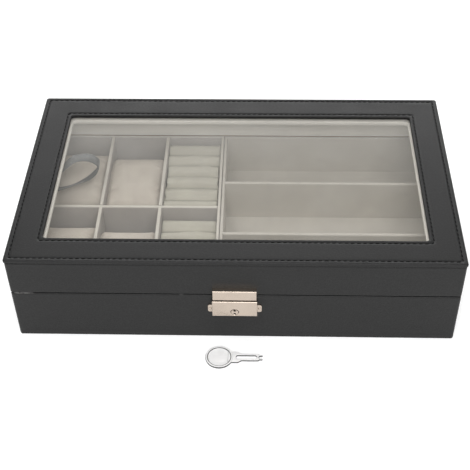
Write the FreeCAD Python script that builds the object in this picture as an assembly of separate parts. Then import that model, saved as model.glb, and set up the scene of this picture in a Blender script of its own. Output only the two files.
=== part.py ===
import FreeCAD, Part
import math
import os

# Box for watches, rings and spectacles, with a glazed lid, a lock and a loose key. Millimetres.
# X runs along the front, Y from the front to the back, Z up. The origin is the middle of the underside.
# The box is closed, as it stands on a table, and the key lies in front of it.

Vector = FreeCAD.Vector
X_AXIS = Vector(1, 0, 0)
Y_AXIS = Vector(0, 1, 0)
Z_AXIS = Vector(0, 0, 1)

# Outside of the closed box
box_width = 335.0
box_depth = 200.0
base_height = 46.5
lid_height = 34.0
panel_thick = 3.0           # stitched frame on top of the lid
panel_overhang = 0.5        # the frame stands this far past the walls
corner_radius = 1.5
rim_bevel = 0.4
panel_bevel = 0.6

# Skins, boards and linings
leather = 0.6
wall_board = 5.0
bottom_board = 3.0
lining_board = 2.5
tray_floor = 3.5
turn_under = 12.0           # skin turned under at the outer edges
fit_gap = 0.2               # between a lining and the board that it is glued to
board_round = 1.0           # rounded free edge of a lined board

# Window in the lid
frame_border = 25.0         # stitched frame, from its outer edge to the window
window_corner = 3.0
window_turn_under = 8.0
pane_thick = 2.0
pane_lap = 7.0              # the pane runs this far past the window
pane_gap = 0.3
cream_step = 1.0            # the cream frame shows this far inside the black one
cream_ledge = 3.5           # cream frame below the pane
lid_lining_rise = 0.4       # lid lining ends this far above the seam

# Trays
tray_drop = 1.5             # tray walls end this far below the seam
left_tray_width = 147.0
tray_split = 0.4            # between the two trays
divider = 3.0
lap_gap = 0.15              # in the halved joints
left_columns = 3
right_rows = 3

# Watch pillows
pillow_length = 68.0
pillow_height = 36.0
pillow_end_radius = 13.0
pillow_side_gap = 0.5
pillow_flat = 0.9           # depth of the flat that it rests on
pillow_ends_drop = 1.6      # crown across the pillow, at each end
pillow_ends_draw = 1.5      # its ends are this much narrower than its middle
pillow_ends_crown = 1.2     # and stand this far out
pillow_lap = 0.2            # one outline past the next where both are widest
pillow_shift_left = 1.0     # as the pillows lie, from the middle of their cells
pillow_shift_middle = -4.0
soft_gap = 0.3

# Ring pads
roll_pitch = 15.0
roll_crown = 6.0
pad_gap = 0.5
back_pad_groove = 36.0      # height of the grooves above the table
front_pad_groove = 31.5

# Hinges
hinge_spread = 190.0
hinge_width = 32.0
leaf_height = 13.0
leaf_thick = 1.0
leaf_corner = 2.0
knuckle_radius = 2.2
knuckle_stand = 0.3         # between the knuckle and the back of the box
middle_knuckle = 11.0
knuckle_gap = 0.2
knuckle_clear = 0.4         # cut round the other leaf's knuckle
hinge_pin_radius = 1.05
running_gap = 0.05

# Lock on the base
case_width = 33.6
case_height = 15.4
case_below_seam = 2.8
case_depth = 4.6
case_round = 0.6
sheet = 0.8                 # pressed sheet of the case and the hasp
back_plate = 1.0
plate_gap = 0.1
ear_reach = 3.3
ear_height = 7.4
ear_rise = 1.1              # from the foot of the case to the foot of the ear
ear_corner = 1.6
barrel_rise = 4.5           # from the foot of the case to the middle of the key barrel
barrel_radius = 2.85
barrel_proud = 0.15
ring_bevel = 0.3            # groove round the key barrel
collar_radius = 3.6
collar_thick = 0.75
square_size = 4.0
tail_radius = 1.9
tail_depth = 1.5            # the tail reaches this far into the front wall
key_pin_spacing = 3.5
key_pin_radius = 0.75
key_pin_length = 2.2
key_hole_gap = 0.1
bolt_thick = 0.8
bolt_stand = 1.5            # bolt and tongue lie this far out from the leather
bolt_hub_radius = 3.4
bolt_width = 2.4
bolt_reach = 7.0
spring_thick = 0.25
spring_width = 0.5
spring_half_length = 4.1

# Hasp on the lid
hasp_width = 32.6
hasp_height = 9.3
hasp_below_seam = 1.8
hasp_depth = 4.0
hasp_clear = 0.5            # below the seam the hasp stands this far off the leather
tongue_web_rise = 1.2
tongue_flange_top = 6.7
leg_inner = 7.8
leg_width = 3.2
foot_inner = 4.6
foot_height = 1.4
foot_gap = 0.3              # between the foot and the turned bolt
slot_side = 0.4
slot_back = 0.3
slot_front = 1.2            # the tongue swings out this far as the lid comes up

# Ribbon that stays the lid
ribbon_width = 10.0
ribbon_thick = 0.5
ribbon_gap = 0.25
ribbon_from_middle = 20.0   # the ribbon's ends lie this far behind the middle of the box
ribbon_lid_rise = 5.0       # its lid end comes through the lining this far above the seam
ribbon_tab = 8.0
ribbon_reach = 42.0         # from the wall to the far side of the loop
ribbon_start = 0.6          # the free part starts this far inside the wall
ribbon_sections = 32

# Key
key_x = -11.7
key_in_front = 21.6         # from the front of the box to the middle of the bow
bow_radius = 10.5
bow_rim_width = 1.5
bow_rim_height = 1.8
bow_web_thick = 1.0
key_shank_thick = 1.4
shoulder_half_width = 5.3
shoulder_end = 14.0
shank_start = 16.8
shank_half_width = 3.4
shank_end = 30.6
key_slot_start = 14.3
key_slot_end = 27.0
key_slot_half_width = 1.5
key_notch_start = 29.4
key_notch_half_width = 0.8

# Places worked out from the sizes
seam = base_height
lid_top = base_height + lid_height
panel_bottom = lid_top - panel_thick
body_x = box_width / 2 - panel_overhang
body_y = box_depth / 2 - panel_overhang
carcass_x = body_x - leather
carcass_y = body_y - leather
window_x = box_width / 2 - frame_border
window_y = box_depth / 2 - frame_border
cavity_x = carcass_x - wall_board
cavity_y = carcass_y - wall_board
board_corner = max(corner_radius - leather, 0.1)
base_board_bottom = leather + bottom_board
base_board_top = seam - leather
lid_board_bottom = seam + leather
lid_board_top = panel_bottom - leather
tray_x = cavity_x - fit_gap
tray_y = cavity_y - fit_gap
tray_inner_y = tray_y - lining_board
floor_top = base_board_bottom + tray_floor
tray_top = seam - tray_drop
pane_bottom = panel_bottom - pane_thick
cream_bottom = pane_bottom - cream_ledge
hinge_y = body_y + knuckle_stand + knuckle_radius
case_bottom = seam - case_below_seam - case_height
case_top = seam - case_below_seam
barrel_z = case_bottom + barrel_rise
hasp_bottom = seam - hasp_below_seam
hasp_top = hasp_bottom + hasp_height


def block(x0, x1, y0, y1, z0, z1):
    return Part.makeBox(x1 - x0, y1 - y0, z1 - z0, Vector(x0, y0, z0))


def runs_along(edge, axis):
    if not isinstance(edge.Curve, Part.Line):
        return False
    step = edge.Vertexes[-1].Point - edge.Vertexes[0].Point
    return step.cross(axis).Length < 1e-6


def round_edges(shape, radius, wanted):
    return shape.makeFillet(radius, [edge for edge in shape.Edges if wanted(edge)])


def bevel_edges(shape, size, wanted):
    return shape.makeChamfer(size, [edge for edge in shape.Edges if wanted(edge)])


def plan_block(half_x, half_y, z0, z1, radius):
    """A block centred on the origin's axis, with its upright corners rounded."""
    plain = block(-half_x, half_x, -half_y, half_y, z0, z1)
    return round_edges(plain, radius, lambda edge: runs_along(edge, Z_AXIS))


def at_height(edge, z):
    box = edge.BoundBox
    return abs(box.ZMin - z) < 1e-6 and abs(box.ZMax - z) < 1e-6


def soft_top_board(x0, x1, y0, y1, z0, z1, z_round):
    """A lined board whose long free edges at z_round are rounded."""
    along = X_AXIS if x1 - x0 > y1 - y0 else Y_AXIS
    radius = min(board_round, 0.45 * min(x1 - x0, y1 - y0))
    plain = block(x0, x1, y0, y1, z0, z1)
    return round_edges(plain, radius, lambda edge: runs_along(edge, along) and at_height(edge, z_round))


def rod(centre, axis, radius, start, end):
    return Part.makeCylinder(radius, end - start, centre + axis * start, axis)


def save(name, shape):
    shape = shape.removeSplitter() if len(shape.Solids) == 1 else shape
    if not shape.isValid():
        raise ValueError(name + " is not a valid shape")
    shape.exportStep("parts/" + name + ".step")
    print(name, len(shape.Solids), "solid", round(shape.Volume, 1), "mm3")


def hinge_middles():
    return (-hinge_spread / 2, hinge_spread / 2)


def barrel_bore():
    middle = Vector(0, -body_y, barrel_z)
    return rod(middle, Y_AXIS, tail_radius + 0.6, -0.1, tail_depth + 1.0)


# Base carcass, its skin and the felt

def ring_boards(z0, z1, names):
    """Four wall boards, front and back the full width and the sides between them."""
    whole = plan_block(carcass_x, carcass_y, z0, z1, board_corner)
    front = whole.common(block(-carcass_x, carcass_x, -carcass_y, -cavity_y, z0, z1))
    back = whole.common(block(-carcass_x, carcass_x, cavity_y, carcass_y, z0, z1))
    left = block(-carcass_x, -cavity_x, -cavity_y, cavity_y, z0, z1)
    right = block(cavity_x, carcass_x, -cavity_y, cavity_y, z0, z1)
    return dict(zip(names, (front, back, left, right)))


def side_skin(z0, z1):
    """Skin round four walls, turned over the boards' edges at both ends."""
    outer = plan_block(body_x, body_y, z0, z1, corner_radius)
    size = min(rim_bevel, 0.9 * leather)
    outer = bevel_edges(outer, size, lambda edge: at_height(edge, z0) or at_height(edge, z1))
    return outer.cut(plan_block(carcass_x, carcass_y, z0 + leather, z1 - leather, board_corner))


def make_base():
    names = ("base_front_board", "base_back_board", "base_left_board", "base_right_board")
    boards = ring_boards(base_board_bottom, base_board_top, names)
    boards["base_front_board"] = boards["base_front_board"].cut(barrel_bore())
    for name, board in boards.items():
        save(name, board)
    save("base_bottom_board", plan_block(carcass_x, carcass_y, leather, base_board_bottom, board_corner))

    skin = side_skin(0.0, seam)
    skin = skin.cut(block(-cavity_x, cavity_x, -cavity_y, cavity_y, seam - 2 * leather, seam + leather))
    under_x = body_x - turn_under
    under_y = body_y - turn_under
    skin = skin.cut(block(-under_x, under_x, -under_y, under_y, -leather, 1.5 * leather))
    save("base_leather", skin.cut(barrel_bore()))

    felt_x = under_x - soft_gap
    felt_y = under_y - soft_gap
    save("base_felt", plan_block(felt_x, felt_y, 0.0, leather, corner_radius))


# Trays

def tray_cells():
    """Edges of the left tray's three columns, and the row dividing line, as (columns, rows)."""
    left = -tray_x + lining_board
    right = -tray_x + left_tray_width - lining_board
    cell = (right - left - (left_columns - 1) * divider) / left_columns
    columns = [(left + i * (cell + divider), left + i * (cell + divider) + cell) for i in range(left_columns)]
    rows = [(-tray_inner_y, -divider / 2), (divider / 2, tray_inner_y)]
    return columns, rows


def tray_walls(side, x0, x1):
    """Floor and four walls of one tray between x0 and x1."""
    walls = {
        "floor": block(x0, x1, -tray_y, tray_y, base_board_bottom, floor_top),
        "front_wall": soft_top_board(x0, x1, -tray_y, -tray_inner_y, floor_top, tray_top, tray_top),
        "back_wall": soft_top_board(x0, x1, tray_inner_y, tray_y, floor_top, tray_top, tray_top),
    }
    low = (x0, x0 + lining_board)
    high = (x1 - lining_board, x1)
    for name, (a, b) in (("left_wall", low), ("right_wall", high)):
        walls[name] = soft_top_board(a, b, -tray_inner_y, tray_inner_y, floor_top, tray_top, tray_top)
    return {side + "_tray_" + name: wall for name, wall in walls.items()}


def ribbon_notch_in_tray():
    """Open notch over the wall's top and a groove behind it, for the ribbon's glued end."""
    half = ribbon_width / 2 + ribbon_gap
    y0 = ribbon_from_middle - half
    y1 = ribbon_from_middle + half
    deep = ribbon_thick + 2 * ribbon_gap
    over = block(-tray_x, -tray_x + lining_board, y0, y1, tray_top - deep, tray_top + board_round)
    behind = block(-tray_x, -tray_x + deep, y0, y1, tray_top - ribbon_tab - deep, tray_top)
    return over.fuse(behind)


def make_left_tray():
    walls = tray_walls("left", -tray_x, -tray_x + left_tray_width)
    walls["left_tray_left_wall"] = walls["left_tray_left_wall"].cut(ribbon_notch_in_tray())
    for name, wall in walls.items():
        save(name, wall)
    columns, rows = tray_cells()
    half_height = (floor_top + tray_top) / 2
    cross = soft_top_board(columns[0][0], columns[-1][1], -divider / 2, divider / 2,
                           floor_top, tray_top, tray_top)
    for number, (column, following) in enumerate(zip(columns, columns[1:])):
        x0 = column[1]
        x1 = following[0]
        long_board = soft_top_board(x0, x1, -tray_inner_y, tray_inner_y, floor_top, tray_top, tray_top)
        half = divider / 2 + lap_gap
        long_board = long_board.cut(block(x0, x1, -half, half, half_height, tray_top))
        cross = cross.cut(block(x0 - lap_gap, x1 + lap_gap, -divider, divider, floor_top, half_height + lap_gap))
        save("left_tray_long_divider_" + ("left", "right")[number % 2], long_board)
    save("left_tray_cross_divider", cross)


def right_tray_rows():
    depth = (2 * tray_inner_y - (right_rows - 1) * divider) / right_rows
    return [(-tray_inner_y + i * (depth + divider), -tray_inner_y + i * (depth + divider) + depth)
            for i in range(right_rows)]


def make_right_tray():
    x0 = -tray_x + left_tray_width + tray_split
    for name, wall in tray_walls("right", x0, tray_x).items():
        save(name, wall)
    rows = right_tray_rows()
    for name, row, following in zip(("front", "back"), rows, rows[1:]):
        board = soft_top_board(x0 + lining_board, tray_x - lining_board, row[1], following[0],
                               floor_top, tray_top, tray_top)
        save("right_tray_divider_" + name, board)


# Watch pillows

def oval_face(point, length, height, end_radius):
    """Four centre oval: crowned long sides and round ends. point turns (along, across) into a place."""
    half = length / 2
    rise = height / 2
    crown_radius = ((half - end_radius) ** 2 + rise ** 2 - end_radius ** 2) / (height - 2 * end_radius)
    drop = crown_radius - rise
    lean = math.atan2(half - end_radius, drop)
    join = crown_radius * math.sin(lean)
    lift = crown_radius * math.cos(lean) - drop
    return arc_face(point, half, rise, join, lift)


def arc_face(point, half, rise, join, lift):
    """Face within four arcs that meet at (join, lift) and its mirror images."""
    arcs = [
        Part.Arc(point(-join, lift), point(0, rise), point(join, lift)),
        Part.Arc(point(join, lift), point(half, 0), point(join, -lift)),
        Part.Arc(point(join, -lift), point(0, -rise), point(-join, -lift)),
        Part.Arc(point(-join, -lift), point(-half, 0), point(-join, lift)),
    ]
    return Part.Face(Part.Wire([arc.toShape() for arc in arcs]))


def pillow(x0, x1, middle_y):
    """What three crowned outlines share: seen from the side, from the front and from above."""
    foot = floor_top + soft_gap
    half = (x1 - x0) / 2 - pillow_side_gap
    middle = Vector((x0 + x1) / 2, middle_y, foot - pillow_flat + pillow_height / 2)
    reach = 2 * pillow_length
    end = half - pillow_ends_crown
    side = oval_face(lambda y, z: middle + Vector(-reach / 2, y, z), pillow_length, pillow_height, pillow_end_radius)
    front = arc_face(lambda x, z: middle + Vector(x, -reach / 2, z), half, pillow_height / 2 + pillow_lap,
                     end, pillow_height / 2 - pillow_ends_drop)
    plan = arc_face(lambda x, y: middle + Vector(x, y, -reach / 2), half + pillow_lap, pillow_length / 2 + pillow_lap,
                    end, pillow_length / 2 - pillow_ends_draw)
    full = side.extrude(X_AXIS * reach)
    full = full.common(front.extrude(Y_AXIS * reach)).common(plan.extrude(Z_AXIS * reach))
    under = block(x0, x1, middle_y - reach, middle_y + reach, foot - pillow_height, foot)
    return full.cut(under)


def make_pillows():
    columns, rows = tray_cells()
    for row_name, (y0, y1) in zip(("front", "back"), rows):
        for column_name, column, shift in (("left", columns[0], pillow_shift_left),
                                           ("middle", columns[1], pillow_shift_middle)):
            shape = pillow(column[0], column[1], (y0 + y1) / 2 + shift)
            save("watch_pillow_" + row_name + "_" + column_name, shape)


# Ring pads

def ring_pad(x0, x1, y0, y1, groove):
    """Flat foot, and a row of rolls on top that the rings are pushed between."""
    foot = floor_top + soft_gap
    count = max(1, round((y1 - y0) / roll_pitch))
    pitch = (y1 - y0) / count
    corners = [Vector(x0, y1, groove), Vector(x0, y1, foot), Vector(x0, y0, foot), Vector(x0, y0, groove)]
    edges = list(Part.makePolygon(corners).Edges)
    for number in range(count):
        a = y0 + number * pitch
        b = a + pitch
        crown = Vector(x0, (a + b) / 2, groove + roll_crown)
        edges.append(Part.Arc(Vector(x0, a, groove), crown, Vector(x0, b, groove)).toShape())
    return Part.Face(Part.Wire(edges)).extrude(X_AXIS * (x1 - x0))


def make_ring_pads():
    columns, rows = tray_cells()
    x0, x1 = columns[-1]
    for name, (y0, y1), groove in (("front", rows[0], front_pad_groove), ("back", rows[1], back_pad_groove)):
        pad = ring_pad(x0 + pad_gap, x1 - pad_gap, y0 + pad_gap, y1 - pad_gap, groove)
        save("ring_pad_" + name, pad)


# Lid

def make_lid():
    names = ("lid_front_board", "lid_back_board", "lid_left_board", "lid_right_board")
    boards = ring_boards(lid_board_bottom, lid_board_top, names)
    for name, board in boards.items():
        save(name, board)

    skin = side_skin(seam, panel_bottom)
    skin = skin.cut(block(-cavity_x, cavity_x, -cavity_y, cavity_y, seam - leather, panel_bottom + leather))
    save("lid_leather", skin)


def make_top_frame():
    half_x = box_width / 2
    half_y = box_depth / 2
    outer = plan_block(half_x, half_y, panel_bottom, lid_top, corner_radius)
    window = plan_block(window_x, window_y, panel_bottom - 1, lid_top + 1, window_corner)
    size = min(panel_bevel, leather)
    ring = bevel_edges(outer.cut(window), size, lambda edge: at_height(edge, lid_top))
    board = plan_block(half_x - leather, half_y - leather, panel_bottom + leather, lid_top - leather, board_corner)
    hole = plan_block(window_x + leather, window_y + leather, panel_bottom, lid_top, window_corner + leather)
    board = board.cut(hole)
    save("lid_frame_board", board)
    open_x = half_x - turn_under
    open_y = half_y - turn_under
    lip_x = window_x + window_turn_under
    lip_y = window_y + window_turn_under
    under = block(-open_x, open_x, -open_y, open_y, panel_bottom - 1, panel_bottom + 1.5 * leather)
    under = under.cut(block(-lip_x, lip_x, -lip_y, lip_y, panel_bottom - 2, panel_bottom + 2 * leather))
    save("lid_frame_leather", ring.cut(board).cut(under))


def make_glazing():
    pane_x = window_x + pane_lap
    pane_y = window_y + pane_lap
    save("window_pane", plan_block(pane_x, pane_y, pane_bottom, panel_bottom, window_corner))
    rebate = plan_block(pane_x + pane_gap, pane_y + pane_gap, pane_bottom, panel_bottom + 1, window_corner)
    frame = block(-tray_x, tray_x, -tray_y, tray_y, cream_bottom, panel_bottom)
    hole_x = window_x - cream_step
    hole_y = window_y - cream_step
    hole = plan_block(hole_x, hole_y, cream_bottom - 1, panel_bottom + 1, window_corner)
    frame = frame.cut(rebate).cut(hole)
    size = min(0.6 * board_round, 0.3 * cream_ledge)

    def inner_edge(edge):
        box = edge.BoundBox
        inside = max(abs(box.XMin), abs(box.XMax)) < hole_x + 0.01
        return inside and (at_height(edge, cream_bottom) or at_height(edge, pane_bottom))

    save("pane_retaining_frame", bevel_edges(frame, size, inner_edge))


def ribbon_slit_in_lid():
    """Slit through the lid's left lining and a groove behind it, for the ribbon's other end."""
    half = ribbon_width / 2 + ribbon_gap
    y0 = ribbon_from_middle - half
    y1 = ribbon_from_middle + half
    z0 = seam + ribbon_lid_rise - ribbon_thick / 2 - ribbon_gap
    z1 = z0 + ribbon_thick + 2 * ribbon_gap
    deep = ribbon_thick + 2 * ribbon_gap
    through = block(-tray_x, -tray_x + lining_board, y0, y1, z0, z1)
    behind = block(-tray_x, -tray_x + deep, y0, y1, z0, z1 + ribbon_tab)
    return through.fuse(behind)


def make_lid_lining():
    z0 = seam + lid_lining_rise
    z1 = cream_bottom
    boards = {
        "front": soft_top_board(-tray_x, tray_x, -tray_y, -tray_inner_y, z0, z1, z0),
        "back": soft_top_board(-tray_x, tray_x, tray_inner_y, tray_y, z0, z1, z0),
        "left": soft_top_board(-tray_x, -tray_x + lining_board, -tray_inner_y, tray_inner_y, z0, z1, z0),
        "right": soft_top_board(tray_x - lining_board, tray_x, -tray_inner_y, tray_inner_y, z0, z1, z0),
    }
    boards["left"] = boards["left"].cut(ribbon_slit_in_lid())
    for name, board in boards.items():
        save("lid_lining_" + name, board)


# Hinges

def hinge_leaf(middle, up):
    """Leaf below the pin (up = -1) with the outer knuckles, or above it (up = 1) with the middle one."""
    centre = Vector(middle, hinge_y, seam)
    half = hinge_width / 2
    inner = middle_knuckle / 2
    near = knuckle_radius + knuckle_clear
    z = sorted((seam + up * near, seam + up * leaf_height))
    plate = block(middle - half, middle + half, body_y, body_y + leaf_thick, z[0], z[1])
    far = seam + up * leaf_height
    plate = round_edges(plate, leaf_corner, lambda edge: runs_along(edge, Y_AXIS) and at_height(edge, far))
    if up < 0:
        spans = ((-half, -inner - knuckle_gap), (inner + knuckle_gap, half))
    else:
        spans = ((-inner, inner),)
    z = sorted((seam, seam + up * near))
    for a, b in spans:
        tab = block(middle + a, middle + b, body_y, body_y + leaf_thick, z[0], z[1])
        plate = plate.fuse(tab).fuse(rod(centre, X_AXIS, knuckle_radius, a, b))
    plate = plate.cut(rod(centre, X_AXIS, hinge_pin_radius + running_gap, -half - 1, half + 1))
    return plate


def make_hinges():
    for name, middle in zip(("left", "right"), hinge_middles()):
        save("hinge_base_leaf_" + name, hinge_leaf(middle, -1))
        save("hinge_lid_leaf_" + name, hinge_leaf(middle, 1))
    half = hinge_width / 2
    pins = [rod(Vector(middle, hinge_y, seam), X_AXIS, hinge_pin_radius, -half, half) for middle in hinge_middles()]
    save("hinge_pins", Part.makeCompound(pins))


# Lock: outwards from the leather is -Y, and depths below are measured outwards

def lock_block(x0, x1, out0, out1, z0, z1):
    return block(x0, x1, -body_y - out1, -body_y - out0, z0, z1)


def pressed_cover(width, depth, z0, z1):
    """Shallow pressed cover with rounded front edges, open at the back."""
    half = width / 2
    outer = lock_block(-half, half, 0.0, depth, z0, z1)
    front = -body_y - depth

    def front_edge(edge):
        box = edge.BoundBox
        return abs(box.YMin - front) < 1e-6 and abs(box.YMax - front) < 1e-6

    outer = round_edges(outer, min(case_round, 0.9 * sheet), front_edge)
    inner = lock_block(-half + sheet, half - sheet, -1.0, depth - sheet, z0 + sheet, z1 - sheet)
    return outer.cut(inner)


def ear(side, out, extra):
    """One side ear of the back plate, or with extra the opening that it passes through."""
    x = sorted((side * (case_width / 2 - 2 * sheet), side * (case_width / 2 + ear_reach)))
    z0 = case_bottom + ear_rise - extra
    z1 = z0 + ear_height + 2 * extra
    shape = lock_block(x[0], x[1], 0.0, out, z0, z1)
    if extra > 0.0:
        return shape
    tip = side * (case_width / 2 + ear_reach)

    def tip_edge(edge):
        return runs_along(edge, Y_AXIS) and abs(edge.Vertexes[0].X - tip) < 1e-6

    return round_edges(shape, ear_corner, tip_edge)


def make_lock():
    barrel_centre = Vector(0, -body_y, barrel_z)
    outward = -Y_AXIS
    case = pressed_cover(case_width, case_depth, case_bottom, case_top)
    bore = barrel_radius + running_gap
    case = case.cut(rod(barrel_centre, outward, bore, 0.0, case_depth + 1))
    face = barrel_centre + outward * case_depth
    case = case.cut(Part.makeCone(bore + ring_bevel, bore, ring_bevel, face, Y_AXIS))
    back_out = bolt_stand - slot_back
    front_out = bolt_stand + bolt_thick + slot_front
    for side in (-1, 1):
        case = case.cut(ear(side, back_plate + plate_gap, plate_gap))
        x = sorted((side * (foot_inner - slot_side), side * (leg_inner + leg_width + slot_side)))
        case = case.cut(lock_block(x[0], x[1], back_out, front_out, case_top - 2 * sheet, case_top + 1))
    save("lock_case", case)

    inset = sheet + plate_gap
    half = case_width / 2 - inset
    plate = lock_block(-half, half, 0.0, back_plate, case_bottom + inset, case_top - inset)
    for side in (-1, 1):
        plate = plate.fuse(ear(side, back_plate, 0.0))
    plate = plate.cut(rod(barrel_centre, outward, tail_radius + running_gap, -1, back_plate + 1))
    save("lock_back_plate", plate)


def make_key_barrel():
    centre = Vector(0, -body_y, barrel_z)
    outward = -Y_AXIS
    front = case_depth + barrel_proud
    collar_front = case_depth - sheet - running_gap
    collar_back = collar_front - collar_thick
    square_back = bolt_stand - 2 * running_gap
    barrel = rod(centre, outward, barrel_radius, collar_back, front)

    def front_edge(edge):
        box = edge.BoundBox
        return max(abs(box.YMin + body_y + front), abs(box.YMax + body_y + front)) < 1e-6

    barrel = bevel_edges(barrel, ring_bevel, front_edge)
    barrel = barrel.fuse(rod(centre, outward, collar_radius, collar_back, collar_front))
    half = square_size / 2
    barrel = barrel.fuse(lock_block(-half, half, square_back, collar_back, barrel_z - half, barrel_z + half))
    barrel = barrel.fuse(rod(centre, outward, tail_radius, -tail_depth, square_back))
    for side in (-1, 1):
        hole = centre + Vector(0, 0, side * key_pin_spacing / 2)
        deep = front - key_pin_length - key_hole_gap
        barrel = barrel.cut(rod(hole, outward, key_pin_radius + key_hole_gap, deep, front + 1))
    save("key_barrel", barrel)

    out0 = bolt_stand
    out1 = bolt_stand + bolt_thick
    tip = bolt_width / 2
    hub = rod(centre, outward, bolt_hub_radius, out0, out1)
    arm = lock_block(-tip, tip, out0, out1, barrel_z, barrel_z + bolt_reach - tip)
    end = rod(centre + Vector(0, 0, bolt_reach - tip), outward, tip, out0, out1)
    bolt = hub.fuse(arm).fuse(end)
    seat = half + running_gap
    bolt = bolt.cut(lock_block(-seat, seat, out0 - 1, out1 + 1, barrel_z - seat, barrel_z + seat))
    save("lock_bolt", bolt)

    top = barrel_z - half - running_gap
    foot = case_bottom + sheet
    out0 = bolt_stand + bolt_thick + 2 * running_gap
    out1 = out0 + spring_width
    reach = spring_half_length
    spring = lock_block(-reach, reach, out0, out1, foot, top)
    inner = reach - spring_thick
    spring = spring.cut(lock_block(-inner, inner, out0 - 1, out1 + 1, foot - 1, top - spring_thick))
    save("lock_detent_spring", spring)


def make_hasp():
    cover = pressed_cover(hasp_width, hasp_depth, hasp_bottom, hasp_top)
    half = hasp_width / 2
    cover = cover.cut(lock_block(-half - 1, half + 1, -1.0, hasp_clear, hasp_bottom - 1, seam + hasp_clear))
    inner = half - sheet
    cover = cover.cut(lock_block(-inner, inner, -1.0, hasp_depth - sheet, hasp_bottom - 1, seam))
    save("hasp_plate", cover)

    out0 = bolt_stand
    out1 = bolt_stand + bolt_thick
    web_z = seam + tongue_web_rise
    flange_half = inner - plate_gap
    leg_outer = leg_inner + leg_width
    tongue = lock_block(-flange_half, flange_half, 0.0, sheet, web_z, seam + tongue_flange_top)
    tongue = tongue.fuse(lock_block(-leg_outer, leg_outer, 0.0, out1, web_z, web_z + sheet))
    foot_top = barrel_z - bolt_width / 2 - foot_gap
    foot_bottom = foot_top - foot_height
    for side in (-1, 1):
        x = sorted((side * leg_inner, side * leg_outer))
        tongue = tongue.fuse(lock_block(x[0], x[1], out0, out1, foot_bottom, web_z + sheet))
        x = sorted((side * foot_inner, side * leg_outer))
        tongue = tongue.fuse(lock_block(x[0], x[1], out0, out1, foot_bottom, foot_top))
    save("hasp_tongue", tongue)


# Ribbon lid stay

def ribbon_route():
    """The loop by eye: (reach from the wall, way behind the ends, height above the seam, lean in degrees)."""
    low = tray_top - ribbon_gap - ribbon_thick / 2 - seam
    drawn = [
        (3.0, -0.4, -1.3, -6.0),
        (10.0, -1.5, 0.2, -22.0),
        (23.5, 3.5, 1.3, -28.0),
        (34.5, 10.5, 3.1, -10.0),
        (41.5, 15.0, 9.0, 0.0),
        (42.0, 13.0, 17.5, 0.0),
        (35.0, 12.0, 23.1, 0.0),
        (24.5, 9.5, 23.7, 0.0),
        (16.5, 2.5, 21.0, 0.0),
        (10.5, -3.0, 15.5, 0.0),
        (6.0, -3.2, 9.0, 0.0),
        (2.5, -0.8, 5.5, 0.0),
    ]
    unit = ribbon_reach / 42.0
    loop = [(reach * unit, behind * unit, height * unit, lean) for reach, behind, height, lean in drawn]
    start = (-ribbon_start, 0.0, low, 0.0)
    end = (-ribbon_start, 0.0, ribbon_lid_rise, 0.0)
    return [start] + loop + [end]


def ribbon_stations():
    """Middle point, tangent and width direction along the ribbon's free part."""
    wall = -tray_x + lining_board
    route = ribbon_route()
    points = [Vector(wall + reach, ribbon_from_middle + behind, seam + height)
              for reach, behind, height, _ in route]
    path = Part.BSplineCurve()
    path.interpolate(points)
    marks = [path.parameter(point) for point in points]
    stations = []
    for step in range(ribbon_sections + 1):
        at = marks[0] + (marks[-1] - marks[0]) * step / ribbon_sections
        number = max(i for i in range(len(marks) - 1) if marks[i] <= at + 1e-9)
        share = (at - marks[number]) / (marks[number + 1] - marks[number])
        lean = route[number][3] + share * (route[number + 1][3] - route[number][3])
        along = path.tangent(at)[0]
        across = Vector(0, math.cos(math.radians(lean)), math.sin(math.radians(lean)))
        across = across - along * across.dot(along)
        across.normalize()
        stations.append((path.value(at), along, across))
    return stations


def strip_solid(rings):
    """Thin solid through a row of four cornered sections, of flat facets because the ribbon twists."""
    faces = []
    for ring, following in zip(rings, rings[1:]):
        for i in range(4):
            j = (i + 1) % 4
            for corners in ((ring[i], ring[j], following[j]), (ring[i], following[j], following[i])):
                faces.append(Part.Face(Part.makePolygon(list(corners) + [corners[0]])))
    for ring in (rings[0], rings[-1]):
        faces.append(Part.Face(Part.makePolygon(ring + [ring[0]])))
    return Part.Solid(Part.Shell(faces))


def make_ribbon():
    half_width = ribbon_width / 2
    half_thick = ribbon_thick / 2
    rings = []
    length = 0.0
    before = None
    for place, along, across in ribbon_stations():
        normal = along.cross(across)
        rings.append([place + across * (half_width * a) + normal * (half_thick * b)
                      for a, b in ((-1, -1), (1, -1), (1, 1), (-1, 1))])
        if before is not None:
            length += place.distanceToPoint(before)
        before = place
    free = strip_solid(rings)
    if free.Volume < 0:
        free.reverse()
    y0 = ribbon_from_middle - half_width
    y1 = ribbon_from_middle + half_width
    back = -tray_x + ribbon_gap
    wall = -tray_x + lining_board
    low = tray_top - ribbon_gap - ribbon_thick / 2
    high = seam + ribbon_lid_rise
    pieces = [free]
    for level, up in ((low, -1), (high, 1)):
        over = block(back, wall - ribbon_start + 0.1, y0, y1, level - half_thick, level + half_thick)
        z = sorted((level - up * half_thick, level + up * ribbon_tab))
        tab = block(back, back + ribbon_thick, y0, y1, z[0], z[1])
        pieces.append(over.fuse(tab))
    ribbon = pieces[0].fuse(pieces[1]).fuse(pieces[2])
    print("ribbon free length", round(length, 1), "mm")
    save("lid_stay_ribbon", ribbon)


# Key

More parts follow.
